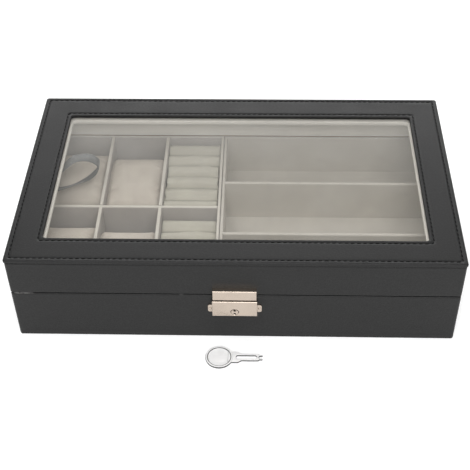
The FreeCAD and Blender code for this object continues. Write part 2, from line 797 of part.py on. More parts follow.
def make_key():
    middle = Vector(key_x, -body_y - key_in_front, 0)
    half_rim = bow_rim_height / 2

    def slab(x0, x1, y0, y1, thick):
        return block(middle.x + x0, middle.x + x1, middle.y + y0, middle.y + y1,
                     half_rim - thick / 2, half_rim + thick / 2)

    rim = Part.makeCylinder(bow_radius, bow_rim_height, middle)
    rim = rim.cut(Part.makeCylinder(bow_radius - bow_rim_width, bow_rim_height + 2, middle - Z_AXIS))
    web = Part.makeCylinder(bow_radius - 0.5 * bow_rim_width, bow_web_thick,
                            middle + Z_AXIS * (half_rim - bow_web_thick / 2))
    corners = [
        (0.8 * bow_radius, shoulder_half_width),
        (shoulder_end, shoulder_half_width),
        (shank_start, shank_half_width),
        (shank_end - 1.2, shank_half_width),
        (shank_end, key_pin_spacing / 2 + key_pin_radius),
    ]
    outline = corners + [(x, -y) for x, y in reversed(corners)]
    low = half_rim - key_shank_thick / 2
    points = [Vector(middle.x + x, middle.y + y, low) for x, y in outline]
    shank = Part.Face(Part.makePolygon(points + [points[0]])).extrude(Z_AXIS * key_shank_thick)
    shank = shank.cut(Part.makeCylinder(bow_radius - bow_rim_width, 4, middle - Z_AXIS))
    slot = slab(key_slot_start, key_slot_end, -key_slot_half_width, key_slot_half_width, 2 * key_shank_thick)
    for x in (key_slot_start, key_slot_end):
        end = middle + Vector(x, 0, -1)
        slot = slot.fuse(Part.makeCylinder(key_slot_half_width, 2 * bow_rim_height, end))
    notch = [(key_notch_start, 0.0), (shank_end + 1, key_notch_half_width), (shank_end + 1, -key_notch_half_width)]
    points = [Vector(middle.x + x, middle.y + y, low - 1) for x, y in notch]
    slot = slot.fuse(Part.Face(Part.makePolygon(points + [points[0]])).extrude(Z_AXIS * 2 * bow_rim_height))
    key = rim.fuse(web).fuse(shank).cut(slot)
    for side in (-1, 1):
        base = middle + Vector(shank_end, side * key_pin_spacing / 2, half_rim)
        key = key.fuse(rod(base, X_AXIS, key_pin_radius, -1.0, key_pin_length))
    save("key", key)


os.makedirs("parts", exist_ok=True)
make_base()
make_left_tray()
make_right_tray()
make_pillows()
make_ring_pads()
make_lid()
make_top_frame()
make_glazing()
make_lid_lining()
make_hinges()
make_lock()
make_key_barrel()
make_hasp()
make_ribbon()
make_key()
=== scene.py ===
import math

import bmesh
import bpy
from mathutils import Matrix, Vector, noise


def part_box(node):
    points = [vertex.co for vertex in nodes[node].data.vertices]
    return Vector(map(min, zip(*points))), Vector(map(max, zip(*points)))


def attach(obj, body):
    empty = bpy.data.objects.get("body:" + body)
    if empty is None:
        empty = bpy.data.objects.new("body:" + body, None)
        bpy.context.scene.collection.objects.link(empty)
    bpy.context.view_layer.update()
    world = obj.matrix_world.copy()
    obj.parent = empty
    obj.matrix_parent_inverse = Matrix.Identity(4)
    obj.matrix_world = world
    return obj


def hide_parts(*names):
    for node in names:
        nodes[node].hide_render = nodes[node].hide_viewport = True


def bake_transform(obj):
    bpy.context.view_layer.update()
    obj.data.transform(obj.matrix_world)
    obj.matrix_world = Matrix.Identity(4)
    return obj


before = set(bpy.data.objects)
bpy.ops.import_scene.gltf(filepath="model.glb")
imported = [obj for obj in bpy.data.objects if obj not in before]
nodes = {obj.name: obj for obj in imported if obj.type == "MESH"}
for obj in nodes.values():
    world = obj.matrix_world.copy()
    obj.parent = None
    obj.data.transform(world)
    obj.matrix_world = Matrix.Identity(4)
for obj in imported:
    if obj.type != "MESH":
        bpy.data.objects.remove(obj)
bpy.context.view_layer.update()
mm = 0.001
seamHeight = 46.5                # where base and lid meet, in millimetres
print("frame loaded,", len(nodes), "nodes")


# Helpers for objects and node trees

def linked(obj):
    bpy.context.scene.collection.objects.link(obj)
    return obj


def evaluatedMesh(obj):
    bpy.context.view_layer.update()
    return bpy.data.meshes.new_from_object(obj.evaluated_get(bpy.context.evaluated_depsgraph_get()))


def addNode(tree, kind, values=None, **settings):
    # A value that is another node's socket is linked, and any other is set
    node = tree.nodes.new(kind)
    for key, value in settings.items():
        setattr(node, key, value)
    for key, value in (values or {}).items():
        if isinstance(value, bpy.types.NodeSocket):
            tree.links.new(value, node.inputs[key])
        else:
            node.inputs[key].default_value = value
    return node


def shaderNode(tree, kind, values=None, **settings):
    return addNode(tree, "ShaderNode" + kind, values, **settings)


def clearTree(owner):
    owner.use_nodes = True
    owner.node_tree.nodes.clear()
    return owner.node_tree


def calc(tree, operation, *given):
    return shaderNode(tree, "Math", dict(enumerate(given)), operation=operation).outputs[0]


def awayFrom(tree, value, middle):
    return calc(tree, "ABSOLUTE", calc(tree, "SUBTRACT", value, middle))


def ranged(tree, value, fromLow, fromHigh, toLow, toHigh, **settings):
    given = {"Value": value, "From Min": fromLow, "From Max": fromHigh, "To Min": toLow, "To Max": toHigh}
    return shaderNode(tree, "MapRange", given, **settings).outputs[0]


def lengthOf(tree, vector):
    return shaderNode(tree, "VectorMath", {0: vector}, operation="LENGTH").outputs["Value"]


def partsOf(tree, vector):
    return shaderNode(tree, "SeparateXYZ", {0: vector}).outputs


# Camera, at the place that the photo was taken from
cameraLook = {
    "place": (0.02088, -0.60359, 0.58597),
    "down": 0.75860, "aside": -0.039225, "roll": -0.018347,      # radians, down from the horizon
    "lens": 76.34, "sensor": 36, "nearest": 0.01,
}


def placeCamera(look):
    down, aside, roll = look["down"], look["aside"], look["roll"]
    ahead = Vector((math.sin(aside) * math.cos(down), math.cos(aside) * math.cos(down), -math.sin(down)))
    level = Vector((math.cos(aside), -math.sin(aside), 0))
    over = level.cross(ahead)
    right = math.cos(roll) * level + math.sin(roll) * over
    up = -math.sin(roll) * level + math.cos(roll) * over
    turn = Matrix((right, up, -ahead)).transposed().to_4x4()
    camera = linked(bpy.data.objects.new("photoCamera", bpy.data.cameras.new("photoCamera")))
    camera.data.lens = look["lens"]
    camera.data.sensor_width = look["sensor"]
    camera.data.clip_start = look["nearest"]
    camera.matrix_world = Matrix.Translation(look["place"]) @ turn
    bpy.context.scene.camera = camera


placeCamera(cameraLook)
bpy.context.scene.view_settings.view_transform = "Standard"


# Studio: a wide soft lamp in front on the right, a weak one above, and a near one behind that greys the leather
studioLook = {
    "lamps": {
        "front": {"at": (0.12, -0.98, 1.25), "size": (1.0, 0.8), "watts": 16.2},
        "overhead": {"at": (-0.20, 0.15, 1.28), "size": (1.4, 1.0), "watts": 5.5},
        "behind": {"at": (0.0, 1.00, 0.58), "size": (1.2, 0.30), "watts": 5.2},
    },
    "aim": (0, 0, 0.04),
    "skyForDiffuse": 0.46,
    "skyHigh": 0.14,             # what metal, glass and leather show of the room's ceiling
    "skyTurn": (0.15, 0.70),     # how steep a ray is where white turns into ceiling
    "floorColour": (0.80, 0.80, 0.80, 1),
    "floorLift": 0.33,           # paper's own white near the box
    "farPaper": (0.35, 1.1),     # it turns all white between these distances
    "floorHalf": 4.0,
}


def rayIsSeen(tree):
    # 1 for what the camera sees by itself, in a mirror or through glass
    path = shaderNode(tree, "LightPath").outputs
    direct = calc(tree, "MAXIMUM", path["Is Camera Ray"], path["Is Glossy Ray"])
    return calc(tree, "MAXIMUM", direct, path["Is Transmission Ray"])


def hangLamps(look):
    for name, lampLook in look["lamps"].items():
        data = bpy.data.lights.new(name, "AREA")
        data.shape = "RECTANGLE"
        data.size, data.size_y = lampLook["size"]
        data.energy = lampLook["watts"]
        lamp = linked(bpy.data.objects.new(name, data))
        lamp.location = lampLook["at"]
        lamp.rotation_mode = "QUATERNION"
        lamp.rotation_quaternion = (Vector(look["aim"]) - Vector(lampLook["at"])).to_track_quat("-Z", "Y")


def setSky(look):
    world = bpy.data.worlds.new("whiteStudio")
    tree = clearTree(world)
    steep = partsOf(tree, shaderNode(tree, "TexCoord").outputs["Generated"])[2]
    ceiling = ranged(tree, steep, *look["skyTurn"], 1.0, look["skyHigh"])
    strength = ranged(tree, rayIsSeen(tree), 0.0, 1.0, look["skyForDiffuse"], ceiling)
    sky = shaderNode(tree, "Background", {"Color": (1, 1, 1, 1), "Strength": strength})
    shaderNode(tree, "OutputWorld", {"Surface": sky.outputs[0]})
    bpy.context.scene.world = world


def layFloor(look):
    half = look["floorHalf"]
    mesh = bpy.data.meshes.new("floor")
    mesh.from_pydata([(-half, -half, 0), (half, -half, 0), (half, half, 0), (-half, half, 0)], [], [(0, 1, 2, 3)])
    floor = linked(bpy.data.objects.new("floor", mesh))
    paper = bpy.data.materials.new("floorPaper")
    tree = clearTree(paper)
    away = lengthOf(tree, shaderNode(tree, "TexCoord").outputs["Object"])
    white = ranged(tree, away, *look["farPaper"], look["floorLift"], 1.0, interpolation_type="SMOOTHSTEP")
    lift = shaderNode(tree, "Emission", {"Strength": calc(tree, "MULTIPLY", rayIsSeen(tree), white)})
    matt = shaderNode(tree, "BsdfDiffuse", {"Color": look["floorColour"]})
    both = shaderNode(tree, "AddShader", {0: matt.outputs[0], 1: lift.outputs[0]})
    shaderNode(tree, "OutputMaterial", {"Surface": both.outputs[0]})
    mesh.materials.append(paper)


hangLamps(studioLook)
setSky(studioLook)
layFloor(studioLook)
print("camera and studio set")


# Small helpers for the materials

def grey(level, warm=0.0):
    return (level * (1 + warm), level, level * (1 - warm), 1)


def startMaterial(name, **values):
    material = bpy.data.materials.new(name)
    tree = clearTree(material)
    skin = shaderNode(tree, "BsdfPrincipled", {key.replace("_", " "): value for key, value in values.items()})
    shaderNode(tree, "OutputMaterial", {"Surface": skin.outputs[0]})
    return material, tree, skin, shaderNode(tree, "TexCoord").outputs["Object"]


def finished(material, skin, colour, roughness, normal):
    for name, value in (("Base Color", colour), ("Roughness", roughness), ("Normal", normal)):
        material.node_tree.links.new(value, skin.inputs[name])
    return material


def blotches(tree, where, size, detail=2.0, stretch=(1, 1, 1), shift=0.0):
    # Noise with features of about this size in metres, drawn out by stretch
    scale = tuple(1 / (size * s) for s in stretch)
    place = shaderNode(tree, "Mapping", {"Vector": where, "Scale": scale, "Location": (shift, shift, shift)})
    return shaderNode(tree, "TexNoise", {"Vector": place.outputs[0], "Scale": 1.0, "Detail": detail}).outputs[0]


def fromNoise(tree, value, toLow, toHigh):
    # Nearly all of a noise lies between 0.3 and 0.7
    return ranged(tree, value, 0.3, 0.7, toLow, toHigh)


def mixColours(tree, factor, first, second):
    return shaderNode(tree, "Mix", {0: factor, 6: first, 7: second}, data_type="RGBA").outputs[2]


def addBump(tree, height, depth, strength, under=None):
    given = {"Height": height, "Distance": depth, "Strength": strength}
    if under is not None:
        given["Normal"] = under
    return shaderNode(tree, "Bump", given).outputs[0]


# Materials

leatherLook = {
    "deep": grey(0.007), "usual": grey(0.013), "scuffed": grey(0.27, 0.02), "shine": 0.31, "rough": (0.44, 0.54),
    "pebble": 1.1 * mm, "pebbleDepth": 0.10 * mm, "pebbleRange": (0.1, 0.7), "pebbleRough": (0.06, -0.04),
    "warp": 1.6 * mm, "warpBy": 0.6 * mm, "pore": 0.28 * mm, "poreShare": 0.25, "cloud": 22 * mm,
    # Worn patches along the seam and the upright corners, and flakes at the seam's left end
    "seam": seamHeight * mm, "seamNear": (0.3 * mm, 1.0 * mm),
    "cornerX": (165.8 * mm, 167.2 * mm), "cornerY": (98.3 * mm, 99.8 * mm),
    "patch": 9 * mm, "patchFrom": (0.64, 0.78), "patchShift": 7.3, "patchMost": 0.45,
    "leftEnd": (-148 * mm, -156 * mm), "flake": 1.6 * mm, "flakeFrom": (0.42, 0.56), "flakeMost": 0.9,
}


def wornShare(tree, where, look):
    x, y, z = partsOf(tree, where)
    nearSeam = ranged(tree, awayFrom(tree, z, look["seam"]), *look["seamNear"], 1, 0)
    sideways = ranged(tree, calc(tree, "ABSOLUTE", x), *look["cornerX"], 0, 1)
    endways = ranged(tree, calc(tree, "ABSOLUTE", y), *look["cornerY"], 0, 1)
    edge = calc(tree, "MAXIMUM", nearSeam, calc(tree, "MULTIPLY", sideways, endways))
    patchNoise = blotches(tree, where, look["patch"], 4.0, shift=look["patchShift"])
    patch = ranged(tree, patchNoise, *look["patchFrom"], 0, look["patchMost"])
    atLeft = calc(tree, "MULTIPLY", nearSeam, ranged(tree, x, *look["leftEnd"], 0, look["flakeMost"]))
    flakeNoise = blotches(tree, where, look["flake"], stretch=(2.0, 1.0, 1.0))
    flakes = ranged(tree, flakeNoise, *look["flakeFrom"], 0, 1)
    return calc(tree, "MAXIMUM", calc(tree, "MULTIPLY", edge, patch), calc(tree, "MULTIPLY", atLeft, flakes))


def makeLeather(look):
    material, tree, skin, where = startMaterial("blackLeather", IOR=1.5, Specular_IOR_Level=look["shine"])
    warp = blotches(tree, where, look["warp"], 1.0)
    bent = shaderNode(tree, "VectorMath", {0: warp, 1: (look["warpBy"],) * 3, 2: where}, operation="MULTIPLY_ADD")
    cells = {"Vector": bent.outputs[0], "Scale": 1 / look["pebble"]}
    pebble = shaderNode(tree, "TexVoronoi", cells, feature="SMOOTH_F1").outputs["Distance"]
    pore = blotches(tree, where, look["pore"], 3.0)
    cloud = blotches(tree, where, look["cloud"], 3.0)
    pebbled = ranged(tree, pebble, *look["pebbleRange"], 0.0, 0.45)
    tone = calc(tree, "ADD", pebbled, fromNoise(tree, cloud, 0.0, 0.55))
    colour = mixColours(tree, tone, look["deep"], look["usual"])
    colour = mixColours(tree, wornShare(tree, where, look), colour, look["scuffed"])
    grain = ranged(tree, pebble, *look["pebbleRange"], *look["pebbleRough"])
    rough = calc(tree, "ADD", fromNoise(tree, cloud, *look["rough"]), grain)
    height = calc(tree, "MULTIPLY_ADD", pore, look["poreShare"], pebble)
    return finished(material, skin, colour, rough, addBump(tree, height, look["pebbleDepth"], 0.55))


def makeVelvet(name, light, shade, pile=0.22 * mm, brushed=13 * mm, grooves=None, top=None):
    # Short pile that lies in brushed patches, and shines a little at a slant. Where it is pinched in, painted shade
    # darkens it to the grooves colour
    material, tree, skin, where = startMaterial(
        name, Sheen_Weight=0.35, Sheen_Roughness=0.45, Sheen_Tint=light, Specular_IOR_Level=0.15)
    nap = blotches(tree, where, brushed, stretch=(1.0, 1.7, 1.0))
    fine = blotches(tree, where, pile)
    tone = calc(tree, "ADD", ranged(tree, nap, 0.35, 0.65, 0.0, 0.6), fromNoise(tree, fine, 0.0, 0.4))
    colour = mixColours(tree, tone, shade, light)
    # Painted light: lighter towards the given colour on the tops of walls, near and above the given height
    if top:
        height, paintedTopColour = top
        paintedTopLight = ranged(tree, partsOf(tree, where)[2], height - 0.6 * mm, height - 0.1 * mm, 0, 0.8)
        colour = mixColours(tree, paintedTopLight, colour, paintedTopColour)
    # Painted shade in the creases, as strong as each point's stored mark
    if grooves:
        pinched = shaderNode(tree, "Attribute", attribute_name="pinched").outputs["Fac"]
        colour = mixColours(tree, pinched, colour, grooves)
    soft = addBump(tree, nap, 0.5 * mm, 0.25)
    return finished(material, skin, colour, fromNoise(tree, fine, 0.82, 0.96),
                    addBump(tree, fine, 0.12 * mm, 0.5, soft))


def makeBoardPaper(name, light, shade):
    material, tree, skin, where = startMaterial(name, Specular_IOR_Level=0.25)
    fibre = blotches(tree, where, 0.5 * mm, 4.0, stretch=(3.0, 1.0, 1.0))
    cloud = blotches(tree, where, 30 * mm)
    tone = calc(tree, "ADD", fromNoise(tree, fibre, 0.0, 0.5), fromNoise(tree, cloud, 0.0, 0.5))
    colour = mixColours(tree, tone, shade, light)
    return finished(material, skin, colour, fromNoise(tree, fibre, 0.62, 0.8), addBump(tree, fibre, 0.05 * mm, 0.4))


barrelHoles = {
    "face": -104.25 * mm, "middle": 32.8 * mm, "aside": 1.75 * mm, "reach": 0.92 * mm,
    "deep": (0.09 * mm, 0.19 * mm), "edge": 0.1 * mm, "dark": grey(0.004),
}


def paintedHoleShade(tree, where, look):
    # Painted shade in the holes: 1 behind the barrel's face, and on it round both holes
    x, y, z = partsOf(tree, where)
    inside = ranged(tree, y, *(look["face"] + deep for deep in look["deep"]), 0, 1)
    up = calc(tree, "SUBTRACT", awayFrom(tree, z, look["middle"]), look["aside"])
    away = lengthOf(tree, shaderNode(tree, "CombineXYZ", {0: x, 1: up}).outputs[0])
    return calc(tree, "MAXIMUM", inside, ranged(tree, away, look["reach"], look["reach"] + look["edge"], 1, 0))


def makeMetal(name, bright, dull, rough, holes=None):
    # Plated sheet with faint rolling lines along the front and finger marks, and painted shade in and round a pair of
    # holes
    material, tree, skin, where = startMaterial(name, Metallic=1.0)
    lines = blotches(tree, where, 0.16 * mm, stretch=(60, 1.0, 1.0))
    marks = blotches(tree, where, 9 * mm)
    colour = mixColours(tree, fromNoise(tree, marks, 0, 1), dull, bright)
    if holes:
        # Painted shade in and round the barrel's holes
        colour = mixColours(tree, paintedHoleShade(tree, where, holes), colour, holes["dark"])
    amount = calc(tree, "ADD", fromNoise(tree, marks, rough + 0.03, rough - 0.02), fromNoise(tree, lines, 0.0, 0.05))
    return finished(material, skin, colour, amount, addBump(tree, lines, 0.006 * mm, 0.2))


keyMetalLook = {
    "bright": grey(0.96), "usual": grey(0.90), "dark": grey(0.02), "flat": (0.75, 0.98), "rough": (0.32, 0.44),
    "middle": (-11.7, -121.1), "ring": 8.8, "ringWide": (0.15 * mm, 0.35 * mm),
}


def makeKeyMetal(look):
    # Tumbled white metal, with painted shade that makes it dull and dark on the upright sides and where the rim meets
    # the web
    material, tree, skin, where = startMaterial("keyNickel", Metallic=0.1, Specular_IOR_Level=0.6)
    facing = partsOf(tree, shaderNode(tree, "NewGeometry").outputs["Normal"])[2]
    marks = blotches(tree, where, 5 * mm)
    scratches = blotches(tree, where, 0.2 * mm, stretch=(12, 1.0, 1.0))
    face = mixColours(tree, fromNoise(tree, marks, 0, 1), look["usual"], look["bright"])
    middle = tuple(at * mm for at in look["middle"]) + (0,)
    fromMiddle = shaderNode(tree, "VectorMath", {0: where, 1: middle}, operation="SUBTRACT").outputs[0]
    flat = shaderNode(tree, "VectorMath", {0: fromMiddle, 1: (1, 1, 0)}, operation="MULTIPLY").outputs[0]
    fromRing = awayFrom(tree, lengthOf(tree, flat), look["ring"] * mm)
    level = ranged(tree, calc(tree, "ABSOLUTE", facing), *look["flat"], 0, 1)
    outsidePaintedShade = calc(tree, "MULTIPLY", level, ranged(tree, fromRing, *look["ringWide"], 0, 1))
    # Painted shade: dark on the upright sides and in a ring where the rim meets the web
    colour = mixColours(tree, outsidePaintedShade, look["dark"], face)
    return finished(material, skin, colour, fromNoise(tree, scratches, *look["rough"]),
                    addBump(tree, scratches, 0.01 * mm, 0.3))


paneLook = {
    "through": (0.985, 0.985, 0.98, 1), "haze": (0.62, 0.61, 0.58, 1), "smear": 40 * mm, "rough": (0.10, 0.22),
    "share": (0.045, 0.07), "paintedReflectionFrom": (-20 * mm, 80 * mm), "paintedReflection": 0.09,
}


def makePane(look):
    # Clear sheet that mirrors a little and carries a faint milky haze
    material = bpy.data.materials.new("clearPane")
    tree = clearTree(material)
    where = shaderNode(tree, "TexCoord").outputs["Object"]
    smear = blotches(tree, where, look["smear"], 3.0)
    through = shaderNode(tree, "BsdfTransparent", {"Color": look["through"]})
    hazy = {"Base Color": look["haze"], "IOR": 1.45, "Roughness": fromNoise(tree, smear, *look["rough"])}
    face = shaderNode(tree, "BsdfPrincipled", hazy)
    # Painted reflection: the hazy face's share grows towards the back half, where the sheet is seen at a slant and
    # would mirror more of the room
    paintedReflection = ranged(tree, partsOf(tree, where)[1], *look["paintedReflectionFrom"], 0, look["paintedReflection"])
    share = calc(tree, "ADD", fromNoise(tree, smear, *look["share"]), paintedReflection)
    blend = shaderNode(tree, "MixShader", {0: share, 1: through.outputs[0], 2: face.outputs[0]})
    shaderNode(tree, "OutputMaterial", {"Surface": blend.outputs[0]})
    return material


satinLook = {
    "dark": (0.070, 0.074, 0.076, 1), "light": (0.105, 0.110, 0.112, 1), "edge": (0.045, 0.047, 0.049, 1),
    "rib": 0.32 * mm, "selvedge": (0.44, 0.47), "rough": (0.38, 0.48),
}


def makeRibbonSatin(look):
    # Ribs across the ribbon and a selvedge, from the strip's own map: U along in metres, V across from 0 to 1
    material, tree, skin, where = startMaterial(
        "greySatin", Sheen_Weight=0.25, Sheen_Roughness=0.3, Anisotropic=0.5, Specular_IOR_Level=0.6)
    along, across, _ = partsOf(tree, shaderNode(tree, "UVMap", uv_map="strip").outputs[0])
    rib = calc(tree, "SINE", calc(tree, "MULTIPLY", along, 2 * math.pi / look["rib"]))
    selvedge = ranged(tree, awayFrom(tree, across, 0.5), *look["selvedge"], 0, 1)
    cloudy = blotches(tree, where, 6 * mm)
    colour = mixColours(tree, fromNoise(tree, cloudy, 0, 1), look["dark"], look["light"])
    colour = mixColours(tree, calc(tree, "MULTIPLY", selvedge, 0.5), colour, look["edge"])
    height = calc(tree, "ADD", calc(tree, "MULTIPLY", rib, 0.4), selvedge)
    return finished(material, skin, colour, ranged(tree, rib, -1, 1, *look["rough"]),
                    addBump(tree, height, 0.05 * mm, 0.6))


def makeThread(twistLength):
    material, tree, skin, where = startMaterial("blackThread", Specular_IOR_Level=0.12)
    given = {"Vector": where, "Scale": 1 / twistLength, "Distortion": 1.5}
    twist = shaderNode(tree, "TexWave", given, bands_direction="DIAGONAL").outputs["Fac"]
    colour = mixColours(tree, twist, grey(0.003), grey(0.008))
    return finished(material, skin, colour, ranged(tree, twist, 0, 1, 0.85, 0.95), addBump(tree, twist, 0.05 * mm, 0.6))


nickelLook = ((0.53, 0.452, 0.383, 1), (0.50, 0.425, 0.36, 1), 0.17)     # bright, dull, roughness
# Painted light: the left tray's walls turn to this lighter colour on their tops, from just under this height
leftTrayPaintedLitTops = (45.0 * mm, (0.56, 0.53, 0.47, 1))

materials = {
    "black_leather": makeLeather(leatherLook),
    "black_felt": makeVelvet("blackFelt", grey(0.030), grey(0.014), pile=0.5 * mm, brushed=8 * mm),
    "clear_pane": makePane(paneLook),
    "cream_lining": makeVelvet("creamLining", (0.72, 0.69, 0.635, 1), (0.63, 0.60, 0.55, 1), brushed=25 * mm),
    "tray_velvet": makeVelvet("trayVelvet", (0.50, 0.470, 0.425, 1), (0.455, 0.428, 0.385, 1), brushed=18 * mm),
    # A darker copy of the tray velvet, painted shade for the left cells, with painted light on its wall tops
    "left_velvet_painted_shade_and_light": makeVelvet("leftTrayVelvet", (0.40, 0.375, 0.35, 1), (0.355, 0.33, 0.31, 1), brushed=18 * mm,
                              top=leftTrayPaintedLitTops),
    # The pillow and ring velvets are given grooves colours for their painted shade
    "pillow_velvet": makeVelvet("pillowVelvet", (0.53, 0.48, 0.42, 1), (0.45, 0.405, 0.355, 1),
                                grooves=(0.25, 0.225, 0.195, 1)),
    "ring_velvet": makeVelvet("ringVelvet", (0.47, 0.45, 0.385, 1), (0.41, 0.39, 0.335, 1), brushed=20 * mm,
                              grooves=(0.20, 0.19, 0.165, 1)),
    "grey_ribbon": makeRibbonSatin(satinLook),
    "steel": makeMetal("steel", (0.62, 0.61, 0.60, 1), (0.50, 0.49, 0.48, 1), 0.30),
    "nickel": makeMetal("nickel", *nickelLook),
    "barrel_nickel": makeMetal("barrelNickel", *nickelLook, holes=barrelHoles),
    "key_nickel": makeKeyMetal(keyMetalLook),
    "fibreboard": makeBoardPaper("fibreboard", (0.30, 0.20, 0.12, 1), (0.20, 0.13, 0.075, 1)),
    "thread": makeThread(0.9 * mm),
}
print("materials made,", len(materials), "finishes")

# Finish of each CAD node, by what its name starts with. The others are fibreboard
finishStarts = {
    "black_leather": ("base_leather", "lid_leather", "lid_frame_leather"), "black_felt": "base_felt",
    "clear_pane": "window_pane", "cream_lining": ("pane_retaining_frame", "lid_lining"),
    "grey_ribbon": "lid_stay_ribbon", "left_velvet_painted_shade_and_light": "left_tray", "tray_velvet": "right_tray",
    "pillow_velvet": "watch_pillow", "ring_velvet": "ring_pad", "barrel_nickel": "key_barrel",
    "steel": ("hinge", "lock_bolt", "lock_detent_spring"), "nickel": ("lock_back_plate", "lock_case", "hasp", "key"),
}


def dressNodes(starts):
    for name, obj in nodes.items():
        kind = next((kind for kind, start in starts.items() if name.startswith(start)), "fibreboard")
        if not obj.material_slots:
            obj.data.materials.append(materials[kind])
        for place in obj.material_slots:
            place.material = materials[kind]


dressNodes(finishStarts)


# Mesh helpers

def addPiece(name, mesh, body, finish, replaced=(), slot=None):
    piece = linked(bpy.data.objects.new(name, mesh))
    if finish:
        mesh.materials.clear()
        mesh.materials.append(materials[finish])
    for face in mesh.polygons:
        face.use_smooth = True
    if body:
        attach(piece, body)
    if replaced:
        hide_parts(*replaced)
    slot or finish
    return piece


def meshOf(name, points, faces):
    mesh = bpy.data.meshes.new(name)
    mesh.from_pydata([tuple(p) for p in points], [], faces)
    mesh.validate()
    work = bmesh.new()
    work.from_mesh(mesh)
    bmesh.ops.recalc_face_normals(work, faces=work.faces)
    work.to_mesh(mesh)
    work.free()
    return mesh


def ringFaces(rows, count, closed=False):
    # Faces between rings of count points that follow one another: right round, or with a cap at both ends
    faces = []
    for row in range(rows if closed else rows - 1):
        here, there = row * count, (row + 1) % rows * count
        for i in range(count):
            j = (i + 1) % count
            faces.append((here + i, here + j, there + j, there + i))
    if not closed:
        faces += [tuple(range(count)), tuple((rows - 1) * count + i for i in range(count))]
    return faces


def steps(first, last, count):
    return [first + (last - first) * i / count for i in range(count)]


def circle(radius, segments):
    turns = [2 * math.pi * i / segments for i in range(segments)]
    return [(radius * math.cos(turn), radius * math.sin(turn)) for turn in turns]


def roundCorner(corner, fromPoint, toPoint, radius, pieces=5):
    # Points of an arc that takes a square corner off a profile
    corner, a, b = Vector(corner), Vector(fromPoint), Vector(toPoint)
    u, v = (a - corner).normalized(), (b - corner).normalized()
    centre = corner + (u + v) * radius
    turns = [math.pi / 2 * i / pieces for i in range(pieces + 1)]
    return [tuple(centre - v * radius * math.cos(turn) - u * radius * math.sin(turn)) for turn in turns]


loopLook = {"arc": 7, "alongX": 26, "alongY": 16, "nearArc": 0.6, "nearShare": 0.2}


def roundedLoop(halfX, halfY, radius, look=loopLook):
    # Points anticlockwise round a rectangle with rounded corners, with a point close to each arc's ends
    arcs = []
    for sx, sy, start in ((1, 1, 0), (-1, 1, 90), (-1, -1, 180), (1, -1, 270)):
        middle = Vector((sx * halfX - sx * radius, sy * halfY - sy * radius))
        turns = [math.radians(start + 90 * i / look["arc"]) for i in range(look["arc"] + 1)]
        arcs.append([middle + Vector((math.cos(turn), math.sin(turn))) * radius for turn in turns])
    points = []
    for number, arc in enumerate(arcs):
        last = arc[-1]
        run = arcs[(number + 1) % 4][0] - last
        count = look["alongX"] if abs(run.x) > abs(run.y) else look["alongY"]
        near = min(look["nearArc"], look["nearShare"] * run.length) / run.length
        shares = [near] + [near + (1 - 2 * near) * i / count for i in range(1, count)] + [1 - near]
        points += arc + [last + run * share for share in shares]
    return points


def sweepRing(name, profile, look, radiusAt):
    # Closed skin: profile is a closed row of (inset, height) in millimetres, carried round the box
    points = []
    for inset, z in profile:
        loop = roundedLoop(look["halfX"] - inset, look["halfY"] - inset, radiusAt(inset))
        points += [Vector((p.x, p.y, z)) * mm for p in loop]
    return meshOf(name, points, ringFaces(len(profile), len(points) // len(profile), closed=True))


# Leather skins of the base and the lid's walls

skinLook = {
    "halfX": 167.0, "halfY": 99.5, "corner": 1.9, "leastCorner": 0.6, "leather": 0.6, "panelBottom": 77.15,
    "boardWidth": 5.6, "edge": 1.0, "nearEdge": 0.5, "crease": 0.05, "turnUnder": 12.0, "seamGap": 0.42,
}


def wallProfile(look, z0, z1, low):
    # From the inner end of the lower turn, round the outside, over the top edge, and back along the boards
    t, e, inner, crease = look["leather"], look["edge"], look["boardWidth"], look["crease"]
    near = e + look["nearEdge"]
    outside = [(low, z0), (near, z0)] + roundCorner((0, z0), (1, z0), (0, z0 + 1), e)
    outside += [(0, z0 + near), (0, (z0 + z1) / 2), (0, z1 - near)]
    outside += roundCorner((0, z1), (0, z1 - 1), (1, z1), e) + [(near, z1), (inner, z1)]
    inside = [(inner, z1 - t), (t + crease, z1 - t), (t, z1 - t - crease), (t, z0 + t + crease),
              (t + crease, z0 + t), (low, z0 + t)]
    return outside + inside


def makeSkins(look):
    def radiusAt(inset):
        return max(look["corner"] - 0.6 * min(inset, 1.5), look["leastCorner"])

    gap = look["seamGap"]
    walls = {
        "base": wallProfile(look, 0.0, seamHeight - gap, look["turnUnder"]),
        "lid": wallProfile(look, seamHeight + gap, look["panelBottom"], look["boardWidth"]),
    }
    for body, profile in walls.items():
        mesh = sweepRing(body + "Leather", profile, look, radiusAt)
        addPiece(body + "Leather", mesh, body, "black_leather", [body + "_leather"])


makeSkins(skinLook)


# Stitched leather frame on top of the lid

frameLook = {
    "halfX": 167.5, "halfY": 100.0, "border": 25.0, "bottom": 77.85, "top": 80.5, "leather": 0.6,
    "outerCorner": 1.9, "innerCorner": 3.2, "outerEdge": 1.0, "innerEdge": 1.0, "lowEdge": 0.5,
    "turnUnder": 12.0, "windowTurn": 8.0, "rimIn": 1.2, "rimUp": 0.9, "crease": 0.1,
    "stitchRows": (3.6, 22.0), "grooveHalf": 1.0, "grooveDeep": 0.46, "grooveFall": 1.6, "grooveEnd": 2.2,
    "grooveAt": (-2.0, -1.4, -1.0, -0.7, -0.4, 0, 0.4, 0.7, 1.0, 1.4, 2.0), "between": (8.0, 11.0, 14.0, 17.5),
}


def frameCorner(look, inset):
    grow = (look["innerCorner"] - look["outerCorner"]) / look["border"]
    return look["outerCorner"] + grow * max(inset, 0)


def frameTop(look, inset):
    # Height of the leather across the border: it dips into both rows of stitches
    z = look["top"]
    for row in look["stitchRows"]:
        away = abs(inset - row) / look["grooveHalf"]
        if away < look["grooveEnd"]:
            z -= look["grooveDeep"] * math.exp(-away * away * look["grooveFall"])
    return z


